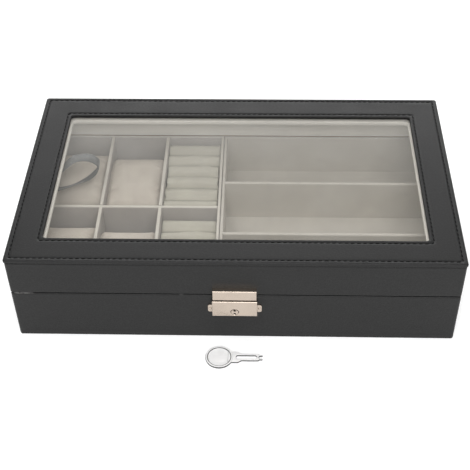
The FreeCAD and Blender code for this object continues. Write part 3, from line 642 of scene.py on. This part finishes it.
def frameProfile(look):
    wide, z0, z1, t = look["border"], look["bottom"], look["top"], look["leather"]
    outer, inner, low, rimIn = look["outerEdge"], look["innerEdge"], look["lowEdge"], look["rimIn"]
    rim = [(look["turnUnder"], z0), (rimIn, z0)] + roundCorner((0, z0), (1, z0), (0, z0 + 1), low)
    rim += [(0, z0 + look["rimUp"])] + roundCorner((0, z1), (0, z1 - 1), (1, z1), outer, 6)
    across = [outer + 0.4, *look["between"]]
    across += [row + look["grooveHalf"] * share for row in look["stitchRows"] for share in look["grooveAt"]]
    across = sorted(a for a in across if outer < a < wide - inner - 0.05) + [wide - inner - 0.02]
    top = [(a, frameTop(look, a)) for a in across]
    hole = roundCorner((wide, z1), (wide - 1, z1), (wide, z1 - 1), inner, 6) + [(wide, z0 + look["rimUp"])]
    hole += roundCorner((wide, z0), (wide, z0 + 1), (wide - 1, z0), low)
    hole += [(wide - rimIn, z0), (wide - look["windowTurn"], z0)]
    under = z1 - t - look["crease"]
    inside = [(wide - look["windowTurn"], z0 + t), (wide - t, z0 + t), (wide - t, under), (t, under), (t, z0 + t),
              (look["turnUnder"], z0 + t)]
    return rim + top + hole + inside


def makeStitchedFrame(look):
    mesh = sweepRing("lidFrameLeather", frameProfile(look), look, lambda inset: frameCorner(look, inset))
    addPiece("lidFrameLeather", mesh, "lid", "black_leather", ["lid_frame_leather"])


makeStitchedFrame(frameLook)
print("leather skins done")


# Helpers for Geometry Nodes

def startTree(name, inputs):
    tree = bpy.data.node_groups.new(name, "GeometryNodeTree")
    tree.interface.new_socket(name="Geometry", in_out="INPUT", socket_type="NodeSocketGeometry")
    for socketName, kind in inputs.items():
        tree.interface.new_socket(name=socketName, in_out="INPUT", socket_type="NodeSocket" + kind)
    tree.interface.new_socket(name="Geometry", in_out="OUTPUT", socket_type="NodeSocketGeometry")
    return tree, tree.nodes.new("NodeGroupInput").outputs, tree.nodes.new("NodeGroupOutput")


def randomFloat(tree, seed, low, high):
    given = {2: low, 3: high, "Seed": seed}
    return addNode(tree, "FunctionNodeRandomValue", given, data_type="FLOAT").outputs[1]


def placeCopies(tree, out, points, instance, rotation, finish):
    given = {"Points": points, "Instance": instance, "Rotation": rotation}
    placed = addNode(tree, "GeometryNodeInstanceOnPoints", given)
    solid = addNode(tree, "GeometryNodeRealizeInstances", {"Geometry": placed.outputs[0]})
    dyed = addNode(tree, "GeometryNodeSetMaterial", {"Geometry": solid.outputs[0], "Material": finish})
    tree.links.new(dyed.outputs[0], out.inputs[0])


def runTree(name, tree, points, edges, values):
    # Runs the tree on a guide, with its inputs set by their sockets' identifiers, and gives the finished mesh
    mesh = bpy.data.meshes.new("guide")
    mesh.from_pydata([tuple(p) for p in points], edges, [])
    guide = linked(bpy.data.objects.new("guide", mesh))
    modifier = guide.modifiers.new(tree.name, "NODES")
    modifier.node_group = tree
    for item in tree.interface.items_tree:
        if item.item_type == "SOCKET" and item.in_out == "INPUT" and item.name in values:
            modifier[item.identifier] = values[item.name]
    done = evaluatedMesh(guide)
    done.name = name
    bpy.data.objects.remove(guide)
    return done


# Stitches round the frame, two rows

stitchLook = {
    "pitch": 4.5 * mm, "length": 3.3 * mm, "thick": 0.85 * mm, "sunk": 0.10 * mm,
    "slant": 7.0, "uneven": (0.7, 1.3), "seed": 4,
}


def makeStitchTree(look):
    tree, given, out = startTree("stitchRow", {
        "Pitch": "Float", "Length": "Float", "Thickness": "Float", "Slant": "Float", "Seed": "Int",
        "Thread": "Material"})
    path = addNode(tree, "GeometryNodeMeshToCurve", {"Mesh": given["Geometry"]})
    marks = addNode(tree, "GeometryNodeCurveToPoints", {"Curve": path.outputs[0], "Length": given["Pitch"]},
                    mode="LENGTH")
    bead = addNode(tree, "GeometryNodeMeshUVSphere", {"Segments": 7, "Rings": 5, "Radius": 0.5})
    size = shaderNode(tree, "CombineXYZ", {"X": given["Length"], "Y": given["Thickness"], "Z": given["Thickness"]})
    turned = addNode(tree, "GeometryNodeTransform", {"Geometry": bead.outputs[0], "Rotation": (0, math.pi / 2, 0)})
    stitch = addNode(tree, "GeometryNodeTransform", {"Geometry": turned.outputs[0], "Scale": size.outputs[0]})
    along = addNode(tree, "FunctionNodeAlignRotationToVector", {"Vector": marks.outputs["Tangent"]}, axis="X")
    lean = calc(tree, "MULTIPLY", given["Slant"], randomFloat(tree, given["Seed"], *look["uneven"]))
    aside = shaderNode(tree, "CombineXYZ", {"Z": lean})
    slanted = addNode(tree, "FunctionNodeRotateRotation", {0: along.outputs[0], 1: aside.outputs[0]},
                      rotation_space="LOCAL")
    placeCopies(tree, out, marks.outputs[0], stitch.outputs[0], slanted.outputs[0], given["Thread"])
    return tree


def makeStitches(look, frameSizes):
    points, edges = [], []
    for row in frameSizes["stitchRows"]:
        loop = roundedLoop(frameSizes["halfX"] - row, frameSizes["halfY"] - row, frameCorner(frameSizes, row))
        first = len(points)
        z = frameTop(frameSizes, row) * mm + look["sunk"]
        points += [Vector((p.x * mm, p.y * mm, z)) for p in loop]
        edges += [(first + i, first + (i + 1) % len(loop)) for i in range(len(loop))]
    values = {"Pitch": look["pitch"], "Length": look["length"], "Thickness": look["thick"],
              "Slant": math.radians(look["slant"]), "Seed": look["seed"], "Thread": materials["thread"]}
    mesh = runTree("frameStitches", makeStitchTree(look), points, edges, values)
    addPiece(mesh.name, mesh, "lid", None, slot="black_leather")
    print("stitches done,", len(mesh.polygons), "faces")


makeStitches(stitchLook, frameLook)


# Screws of the hinges and nails of the lock

fixingLook = {
    "segments": 20, "hingeMiddles": (-95.0, 95.0), "screwAside": 10.5, "screwUp": 8.0, "leafFace": 100.5,
    "screwRadius": 1.9, "screwDome": 0.45, "slotHalf": 0.28, "slotDeep": 0.35, "screwSeeds": {"base": 2, "lid": 4},
    "nailAside": 18.45, "nailHeight": 33.1, "earFace": -100.5, "nailRadius": 1.15, "nailDome": 0.45, "nailSeed": 9,
    # Shares of the radius and of the dome, from the back of a head to its top
    "headRings": ((1.0, -0.15), (1.0, 0.12), (0.93, 0.38), (0.75, 0.68), (0.45, 0.92), (0.15, 1.0)),
}


def domedHead(name, radius, dome, look, facing=1):
    # Low domed head that faces +Y or -Y, its back on y = 0
    points = [Vector((facing * x, facing * dome * height, z)) * mm for share, height in look["headRings"]
              for x, z in circle(radius * share, look["segments"])]
    return bpy.data.objects.new(name, meshOf(name, points, ringFaces(len(look["headRings"]), look["segments"])))


def slottedHead(look):
    # Screw head: a domed plug with a straight slot cut across it
    radius, dome = look["screwRadius"], look["screwDome"]
    head = linked(domedHead("screwHead", radius, dome, look))
    bottom, half, reach = dome - look["slotDeep"], look["slotHalf"], radius * 1.3
    points = [Vector((x, y, z)) * mm for y in (bottom, bottom + 2)
              for x, z in ((-reach, -half), (reach, -half), (reach, half), (-reach, half))]
    cutter = linked(bpy.data.objects.new("slotCutter", meshOf("slotCutter", points, ringFaces(2, 4))))
    cut = head.modifiers.new("slot", "BOOLEAN")
    cut.operation = "DIFFERENCE"
    cut.object = cutter
    mesh = evaluatedMesh(head)
    head.modifiers.clear()
    head.data = mesh
    bpy.data.objects.remove(cutter)
    bpy.context.scene.collection.objects.unlink(head)
    return head


def makeFixingTree():
    tree, given, out = startTree("fixingHeads", {
        "Head": "Object", "Turn": "Float", "Seed": "Int", "Metal": "Material"})
    head = addNode(tree, "GeometryNodeObjectInfo", {"Object": given["Head"]})
    spots = addNode(tree, "GeometryNodeMeshToPoints", {"Mesh": given["Geometry"]})
    amount = calc(tree, "MULTIPLY", randomFloat(tree, given["Seed"], -1, 1), given["Turn"])
    turn = shaderNode(tree, "CombineXYZ", {"Y": amount})
    placeCopies(tree, out, spots.outputs[0], head.outputs["Geometry"], turn.outputs[0], given["Metal"])
    return tree


def makeFixings(look):
    tree = makeFixingTree()

    def place(name, body, head, spots, seed, metal):
        values = {"Head": head, "Turn": math.pi, "Seed": seed, "Metal": materials[metal]}
        mesh = runTree(name, tree, [Vector(spot) * mm for spot in spots], [], values)
        addPiece(name, mesh, body, None, slot=metal)

    screw = slottedHead(look)
    for body, up in (("base", -1), ("lid", 1)):
        z = seamHeight + up * look["screwUp"]
        spots = [(middle + side * look["screwAside"], look["leafFace"], z)
                 for middle in look["hingeMiddles"] for side in (-1, 1)]
        place("hingeScrews" + body.title(), body, screw, spots, look["screwSeeds"][body], "steel")
    nail = domedHead("nailHead", look["nailRadius"], look["nailDome"], look, facing=-1)
    spots = [(side * look["nailAside"], look["earFace"], look["nailHeight"]) for side in (-1, 1)]
    place("lockNails", "base", nail, spots, look["nailSeed"], "nickel")
    for head in (screw, nail):
        bpy.data.objects.remove(head)


makeFixings(fixingLook)
print("screws and nails done")


# Stuffed pieces

# Cloth is made for furniture, so the pieces are swollen ten times as large
stuffingLook = {"scale": 10.0, "quality": 6, "frames": 20}


def swell(obj, centre, look, held):
    # A few frames of Cloth under pressure. No point moves further than the cap
    frames, big = stuffingLook["frames"], stuffingLook["scale"]
    start = [v.co.copy() for v in obj.data.vertices]
    cloth = obj.modifiers.new("swell", "CLOTH")
    settings = cloth.settings
    settings.quality = stuffingLook["quality"]
    settings.use_pressure = True
    settings.uniform_pressure_force = look["pressure"]
    settings.shrink_min = look["spare"]
    settings.bending_stiffness = look["bend"]
    settings.effector_weights.gravity = 0
    if held:
        group = obj.vertex_groups.new(name="held")
        group.add([number for number, point in enumerate(start) if held(point / big + centre)], 1.0, "REPLACE")
        settings.vertex_group_mass = "held"
    cloth.point_cache.frame_start = 1
    cloth.point_cache.frame_end = frames
    for step in range(1, frames + 1):
        bpy.context.scene.frame_set(step)
    swollen = evaluatedMesh(obj)
    obj.modifiers.clear()
    most = look["cap"] * big
    for v, before in zip(swollen.vertices, start):
        move = v.co - before
        if move.length > most:
            v.co = before + move.normalized() * most
    obj.data = swollen
    obj.vertex_groups.clear()
    bpy.context.scene.frame_set(1)


def plump(mesh, centre, look, held=None):
    big = stuffingLook["scale"]
    for v in mesh.vertices:
        v.co = (v.co - centre) * big
    obj = linked(bpy.data.objects.new("stuffing", mesh))
    if "voxel" in look:
        remesh = obj.modifiers.new("voxels", "REMESH")
        remesh.mode = "VOXEL"
        remesh.voxel_size = look["voxel"] * big
        obj.data = evaluatedMesh(obj)
        obj.modifiers.clear()
    swell(obj, centre, look, held)
    smooth = obj.modifiers.new("finer", "SUBSURF")
    smooth.levels = smooth.render_levels = 1
    done = evaluatedMesh(obj)
    bpy.data.objects.remove(obj)
    for v in done.vertices:
        v.co = v.co / big + centre
    return done


def mergedCopy(nodeName):
    work = bmesh.new()
    work.from_mesh(nodes[nodeName].data)
    bmesh.ops.remove_doubles(work, verts=work.verts, dist=1e-6)
    mesh = bpy.data.meshes.new(nodeName + "Copy")
    work.to_mesh(mesh)
    work.free()
    return mesh


def markPaintedGrooveShade(mesh, amount):
    # How much painted shade each point gets, for the velvet's creases
    layer = mesh.attributes.new("pinched", "FLOAT", "POINT")
    for v in mesh.vertices:
        layer.data[v.index].value = amount(v.co)


def keepInside(mesh, low, high, room):
    # Within the box and a little room round it, but never below its foot
    low, high, foot = low - Vector(room), high + Vector(room), low.z
    for v in mesh.vertices:
        v.co.x = min(max(v.co.x, low.x), high.x)
        v.co.y = min(max(v.co.y, low.y), high.y)
        v.co.z = min(max(v.co.z, foot), high.z)


pillowLook = {
    "voxel": 2.2 * mm, "pressure": 4.0, "spare": -0.03, "bend": 0.6, "cap": 2.5 * mm, "shrunk": 0.985,
    "room": (0.7 * mm,) * 3, "square": 0.09, "topSquare": 0.11, "endsWide": 0.05, "dents": 45, "dentDeep": 0.25 * mm,
    "seamIn": 1.4, "seamDeep": 0.4, "seamWide": 0.75, "paintedShadeWide": 0.7, "dark": 0.35, "fill": 0.8,
}


def onSeam(place, centre, half, look, wide):
    # 1 on the grooves where the end caps are sewn in, and 0 a little way off
    away = (half.x - abs(place.x - centre.x)) / mm - look["seamIn"]
    return math.exp(-(away / wide) ** 2)


def shapePillow(mesh, centre, half, look):
    # Squarer than the simulation leaves it, with a groove round it near both ends
    for v in mesh.vertices:
        away = v.co - centre
        u, w, t = away.x / half.x, away.y / half.y, away.z / half.z
        plan, side = 1 + look["square"] * (u * w) ** 4, 1 + look["topSquare"] * (w * t) ** 4
        wide = plan * (1 + look["endsWide"] * w * w)
        v.co = centre + Vector((away.x * wide, away.y * plan * side, away.z * side))
        inward = Vector((0, centre.y - v.co.y, centre.z - v.co.z)).normalized()
        v.co += inward * (look["seamDeep"] * onSeam(v.co, centre, half, look, look["seamWide"])) * mm


def makePillows(look):
    # One simulation, turned and mirrored for the others
    first = "watch_pillow_front_left"
    low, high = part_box(first)
    centre, half = (low + high) / 2, (high - low) / 2
    mesh = mergedCopy(first)
    for v in mesh.vertices:
        v.co = centre + (v.co - centre) * look["shrunk"]
    done = plump(mesh, centre, look)
    shapePillow(done, centre, half, look)
    for row, sy in (("front", 1), ("back", -1)):
        for column, sx in (("left", 1), ("middle", -1)):
            node = "watch_pillow_" + row + "_" + column
            nodeLow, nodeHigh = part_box(node)
            there = (nodeLow + nodeHigh) / 2
            copy = done.copy()
            for v in copy.vertices:
                away = v.co - centre
                v.co = there + Vector((away.x * sx, away.y * sy, away.z))
                dent = noise.noise(v.co * look["dents"]) * look["dentDeep"]
                v.co += (v.co - there).normalized() * dent
            if sx * sy < 0:
                copy.flip_normals()
            # Painted shade along the grooves of the end seams
            markPaintedGrooveShade(copy, lambda place: look["dark"] * onSeam(place, there, half, look, look["paintedShadeWide"]))
            keepInside(copy, nodeLow, nodeHigh, look["room"])
            piece = addPiece("watchPillow" + row.title() + column.title(), copy, "base", "pillow_velvet", [node])
    print("pillows done,", len(done.polygons), "faces each")


makePillows(pillowLook)

padLook = {
    "pressure": 1.2, "spare": -0.008, "bend": 2.0, "cap": 0.9 * mm, "room": (0.25 * mm, 0.25 * mm, 1.0 * mm),
    "grooves": {"Front": 31.5, "Back": 36.0},       # their heights
    "rolls": 6, "shrunk": 0.1, "endRound": 1.2, "crown": 6.0, "pinch": 1.8, "archShare": 0.35,
    "heldFoot": 12 * mm, "heldGroove": 1.4 * mm, "paintedShadeWide": 0.75 * mm, "fill": 0.85,
    "across": 12, "sides": 8, "stations": 26, "nearEnds": (0, 0.1, 0.3, 0.6, 1.0),
}


def rollTop(share, look, groove):
    # Height over one roll, share from 0 to 1 across it, with the covering pinched down between the rolls
    arch = math.sqrt(max(0.0, 1 - (2 * share - 1) ** 2))
    rise = look["archShare"] * arch + (1 - look["archShare"]) * math.sin(math.pi * share)
    return groove - look["pinch"] + (look["crown"] + look["pinch"]) * rise


def padMesh(low, high, look, groove):
    # Row of sections along X: the rolls on top, straight sides, and a flat foot, drawn in at both ends
    x0, x1 = low.x / mm + look["shrunk"], high.x / mm - look["shrunk"]
    y0, y1 = low.y / mm + look["shrunk"], high.y / mm - look["shrunk"]
    foot, edge = low.z / mm, rollTop(0.0, look, groove)
    across, sides, r = look["across"], look["sides"], look["endRound"]
    top = [(y, rollTop(number % across / across, look, groove))
           for number, y in enumerate(steps(y0, y1, look["rolls"] * across) + [y1])]
    section = top + [(y1, z) for z in steps(edge, foot, sides)[1:]]
    section += [(y, foot) for y in steps(y1, y0, across)] + [(y0, z) for z in steps(foot, edge, sides)]
    ends = [r * share for share in look["nearEnds"]]
    xs = [x0 + end for end in ends] + steps(x0 + r, x1 - r, look["stations"])[1:] + [x1 - end for end in reversed(ends)]
    points = []
    for x in xs:
        end = min(x - x0, x1 - x)
        drawn = r - math.sqrt(max(0.0, r * r - (r - min(end, r)) ** 2))
        for y, z in section:
            inY = min(max(y, y0 + drawn), y1 - drawn)
            inZ = z if z <= foot + 0.1 else max(z - drawn, foot)
            points.append(Vector((x, inY, inZ)) * mm)
    return meshOf("rollPad", points, ringFaces(len(xs), len(section)))


def makeRingPads(look):
    for row, level in look["grooves"].items():
        name, node = "ringPad" + row, "ring_pad_" + row.lower()
        low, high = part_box(node)
        pitch = (high.y - low.y) / look["rolls"]

        def fromGroove(point):
            share = (point.y - low.y) / pitch
            return abs(share - round(share)) * pitch

        def held(point):
            # The foot and the bottoms of the grooves stay where they are
            return point.z < low.z + look["heldFoot"] or fromGroove(point) < look["heldGroove"]

        done = plump(padMesh(low, high, look, level), (low + high) / 2, look, held)
        keepInside(done, low, high, look["room"])
        # Painted shade in the grooves between the rolls, fading with distance from each groove
        markPaintedGrooveShade(done, lambda place: math.exp(-(fromGroove(place) / look["paintedShadeWide"]) ** 2))
        piece = addPiece(name, done, "base", "ring_velvet", [node])
        print(name, "done,", len(done.polygons), "faces")


makeRingPads(padLook)


# Ribbon that stays the lid

ribbonLook = {
    "wallX": -158.7, "behindMiddle": 20.0, "width": 10.0, "thick": 0.45, "stations": 110, "across": 8,
    "cup": 0.35, "ripple": 0.12, "rippleLength": 0.15, "edgeThin": 0.45, "flatEnds": 12,
    "backX": -160.7, "tab": 8.0, "tabBends": ((0.35, 0.2), (0.0, 0.8)),
    "bendFrom": Vector((-0.159, 0, 0.0488)), "bendSlope": Vector((-0.08, 0, 1)), "bendOver": 0.0024,
    # reach from the wall, way behind the ends, height above the seam, lean in degrees
    "route": [
        (-0.6, 0.0, -2.0, 0), (3.0, -0.4, -1.3, -6), (10.0, -1.5, 0.2, -22), (23.5, 3.5, 1.3, -28),
        (34.5, 10.5, 3.1, -10), (41.5, 15.0, 9.0, 0), (42.0, 13.0, 17.5, 0), (35.0, 12.0, 23.1, 0),
        (24.5, 9.5, 23.7, 0), (16.5, 2.5, 21.0, 0), (10.5, -3.0, 15.5, 0), (6.0, -3.2, 9.0, 0),
        (2.5, -0.8, 5.5, 0), (-0.6, 0.0, 5.0, 0),
    ],
}


def onCurve(points, at):
    # Centripetal Catmull-Rom through rows of numbers, at from 0 to 1
    padded = [points[0] * 2 - points[1]] + points + [points[-1] * 2 - points[-2]]
    knots = [0.0]
    for a, b in zip(padded, padded[1:]):
        knots.append(knots[-1] + max((b - a).xyz.length, 1e-6) ** 0.5)
    t = knots[1] + (knots[-2] - knots[1]) * at
    i = 1
    while i < len(padded) - 3 and knots[i + 1] < t:
        i += 1
    row, k = padded[i - 1:i + 3], knots[i - 1:i + 3]
    for reach in (1, 2):
        # Between neighbours, and then between those results over two spans
        row = [a * ((k[n + reach] - t) / (k[n + reach] - k[n])) + b * ((t - k[n]) / (k[n + reach] - k[n]))
               for n, (a, b) in enumerate(zip(row, row[1:]))]
    a, b = row
    return a * ((k[2] - t) / (k[2] - k[1])) + b * ((t - k[1]) / (k[2] - k[1]))


def ribbonRows(look):
    # (place, width direction) along the ribbon in millimetres, tabs included
    points = [Vector((look["wallX"] + reach, look["behindMiddle"] + behind, seamHeight + up, lean))
              for reach, behind, up, lean in look["route"]]
    fine = [onCurve(points, i / look["stations"]) for i in range(look["stations"] + 1)]
    straight, back = Vector((0, 1, 0)), look["backX"]
    bends = look["tabBends"] + ((0.0, look["tab"]),)

    def tabRows(end, way):
        return [(Vector((back + out, end.y, end.z + way * up)), straight) for out, up in bends]

    rows = tabRows(fine[0].xyz, -1)[::-1]
    for number, place in enumerate(fine):
        before = fine[max(number - 1, 0)].xyz
        after = fine[min(number + 1, len(fine) - 1)].xyz
        along = (after - before).normalized()
        lean = math.radians(place.w)
        wide = Vector((0, math.cos(lean), math.sin(lean)))
        rows.append((place.xyz, (wide - along * wide.dot(along)).normalized()))
    return rows + tabRows(fine[-1].xyz, 1)


def makeRibbon(look):
    rows = ribbonRows(look)
    across, half, last = look["across"], look["width"] / 2, len(rows) - 1
    lengths = [0.0]
    for (a, _), (b, _) in zip(rows, rows[1:]):
        lengths.append(lengths[-1] + (b - a).length)
    points, marks = [], []
    for number, (place, wide) in enumerate(rows):
        before, after = rows[max(number - 1, 0)][0], rows[min(number + 1, last)][0]
        face = (after - before).normalized().cross(wide).normalized()
        fromTab = min(number - 3, last - 3 - number)            # each tab has three rows
        free = min(1.0, max(fromTab, 0) / look["flatEnds"])
        for side in (1, -1):
            for i in range(across + 1)[::side]:
                share = i / across
                off = 2 * share - 1
                ripple = noise.noise(Vector((lengths[number] * look["rippleLength"], share * 3, 2)))
                cup = look["cup"] * free * (off * off - 0.4) + look["ripple"] * free * ripple
                thick = look["thick"] / 2 * (look["edgeThin"] if i in (0, across) else 1.0)
                points.append((place + wide * (half * off) + face * (cup + side * thick)) * mm)
                marks.append((lengths[number] * mm, share))
    mesh = meshOf("lidStayRibbon", points, ringFaces(len(rows), 2 * (across + 1)))
    layer = mesh.uv_layers.new(name="strip")
    for loop in mesh.loops:
        layer.data[loop.index].uv = marks[loop.vertex_index]
    piece = addPiece("lidStayRibbon", mesh, None, "grey_ribbon", ["lid_stay_ribbon"])
    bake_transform(piece)


makeRibbon(ribbonLook)


# Key

keyLook = {
    "middle": keyMetalLook["middle"], "bow": 10.5, "rimWidth": 1.6, "rimHeight": 1.8, "rimEdge": 0.5, "webLow": 0.42,
    "webMiddle": 5.0, "segments": 72, "shankLow": 0.2, "shankHigh": 1.6, "inBow": 7.0, "shoulder": 5.3,
    "shoulderEnd": 14.0, "shank": 3.4, "shankStart": 16.8, "shankEnd": 30.6, "slotStart": 14.3, "slotEnd": 27.0,
    "slotHalf": 1.5, "pinAside": 1.75, "pinRadius": 0.75, "pinEnd": 32.8, "pinRoot": 1.2, "pinSegments": 20,
    "pinEdge": 0.2, "edge": 0.45, "notchStart": 29.4, "notchHalf": 0.44, "sharpFrom": 35,
}


def spunBow(look, work):
    # Rim and web turned round the middle of the bow. The upper face mirrors the lower
    r, height, e, web = look["bow"], look["rimHeight"], look["rimEdge"], look["webLow"]
    inner = r - look["rimWidth"]
    lower = [(0.0, web), (look["webMiddle"], web + 0.05), (inner - 0.4, web + 0.08), (inner, web - 0.1),
             (inner + 0.1, e * 0.4), (inner + e, 0.0), (r - e, 0.0), (r - 0.15, 0.15), (r, e)]
    rows = []
    for radius, z in lower + [(radius, height - z) for radius, z in reversed(lower)]:
        rows.append([work.verts.new((x, y, z)) for x, y in circle(radius, look["segments"] if radius else 1)])
    for low, high in zip(rows, rows[1:]):
        for i in range(look["segments"]):
            corners = [low[i % len(low)], low[(i + 1) % len(low)], high[(i + 1) % len(high)], high[i % len(high)]]
            work.faces.new(list(dict.fromkeys(corners)))


def shankOutline(look):
    # Half of the blank's outline and its mirror image, drawn in by the softened edge
    e, end = look["edge"], look["shankEnd"]
    w, s = look["shoulder"] - e, look["shank"] - e
    half = [(look["inBow"], w), (look["shoulderEnd"] - 0.6, w), (look["shoulderEnd"] + 0.3, w - 0.25),
            (look["shankStart"] - 0.3, s + 0.15), (look["shankStart"] + 0.6, s), (end - look["pinRoot"], s),
            (end - e, look["pinAside"] + look["pinRadius"] - e), (end - e, look["notchHalf"] + e),
            (look["notchStart"] - 1.3 * e, 0.08)]
    return half + [(x, -y) for x, y in reversed(half)]


def shankMesh(look):
    # Flat blank with its long slot, drawn as a filled curve with softened edges
    curve = bpy.data.curves.new("shankCurve", "CURVE")
    curve.dimensions = "2D"
    curve.fill_mode = "BOTH"
    curve.extrude = (look["shankHigh"] - look["shankLow"]) / 2 - look["edge"]
    curve.bevel_depth = look["edge"]
    curve.bevel_resolution = 3
    slotHalf, slot = look["slotHalf"] + look["edge"], []
    for x, first in ((look["slotEnd"], -90), (look["slotStart"], 90)):
        turns = [math.radians(first + 180 * i / 10) for i in range(11)]
        slot += [(x + slotHalf * math.cos(turn), slotHalf * math.sin(turn)) for turn in turns]
    for points in (shankOutline(look), slot):
        spline = curve.splines.new("POLY")
        spline.points.add(len(points) - 1)
        for target, (x, y) in zip(spline.points, points):
            target.co = (x, y, 0, 1)
        spline.use_cyclic_u = True
    obj = linked(bpy.data.objects.new("shankCurve", curve))
    mesh = evaluatedMesh(obj)
    bpy.data.objects.remove(obj)
    return mesh


def makeKey(look):
    work = bmesh.new()
    blank = shankMesh(look)
    level = (look["shankLow"] + look["shankHigh"]) / 2
    for v in blank.vertices:
        v.co.z += level
    work.from_mesh(blank)
    spunBow(look, work)
    for side in (-1, 1):
        pin = bmesh.ops.create_cone(work, cap_ends=True, segments=look["pinSegments"], radius1=look["pinRadius"],
                                    radius2=look["pinRadius"], depth=1.0)["verts"]
        for v in pin:
            x = look["pinEnd"] if v.co.z > 0 else look["shankEnd"] - look["pinRoot"]
            v.co = Vector((x, side * look["pinAside"] + v.co.x, level + v.co.y))
        work.normal_update()
        tips = [face for face in work.faces
                if all(v in pin for v in face.verts) and face.calc_center_median().x > look["pinEnd"] - 0.01]
        rims = list(dict.fromkeys(edge for face in tips for edge in face.edges))
        bmesh.ops.bevel(work, geom=rims, offset=look["pinEdge"], segments=2, affect="EDGES")
    bmesh.ops.remove_doubles(work, verts=work.verts, dist=1e-4)
    bmesh.ops.recalc_face_normals(work, faces=work.faces)
    mx, my = look["middle"]
    for v in work.verts:
        v.co = Vector((v.co.x + mx, v.co.y + my, v.co.z)) * mm
    mesh = bpy.data.meshes.new("key")
    work.to_mesh(mesh)
    work.free()
    addPiece("flatKey", mesh, "key", "key_nickel", ["key"], slot="nickel")
    mesh.set_sharp_from_angle(angle=math.radians(look["sharpFrom"]))
    print("key done")


makeKey(keyLook)
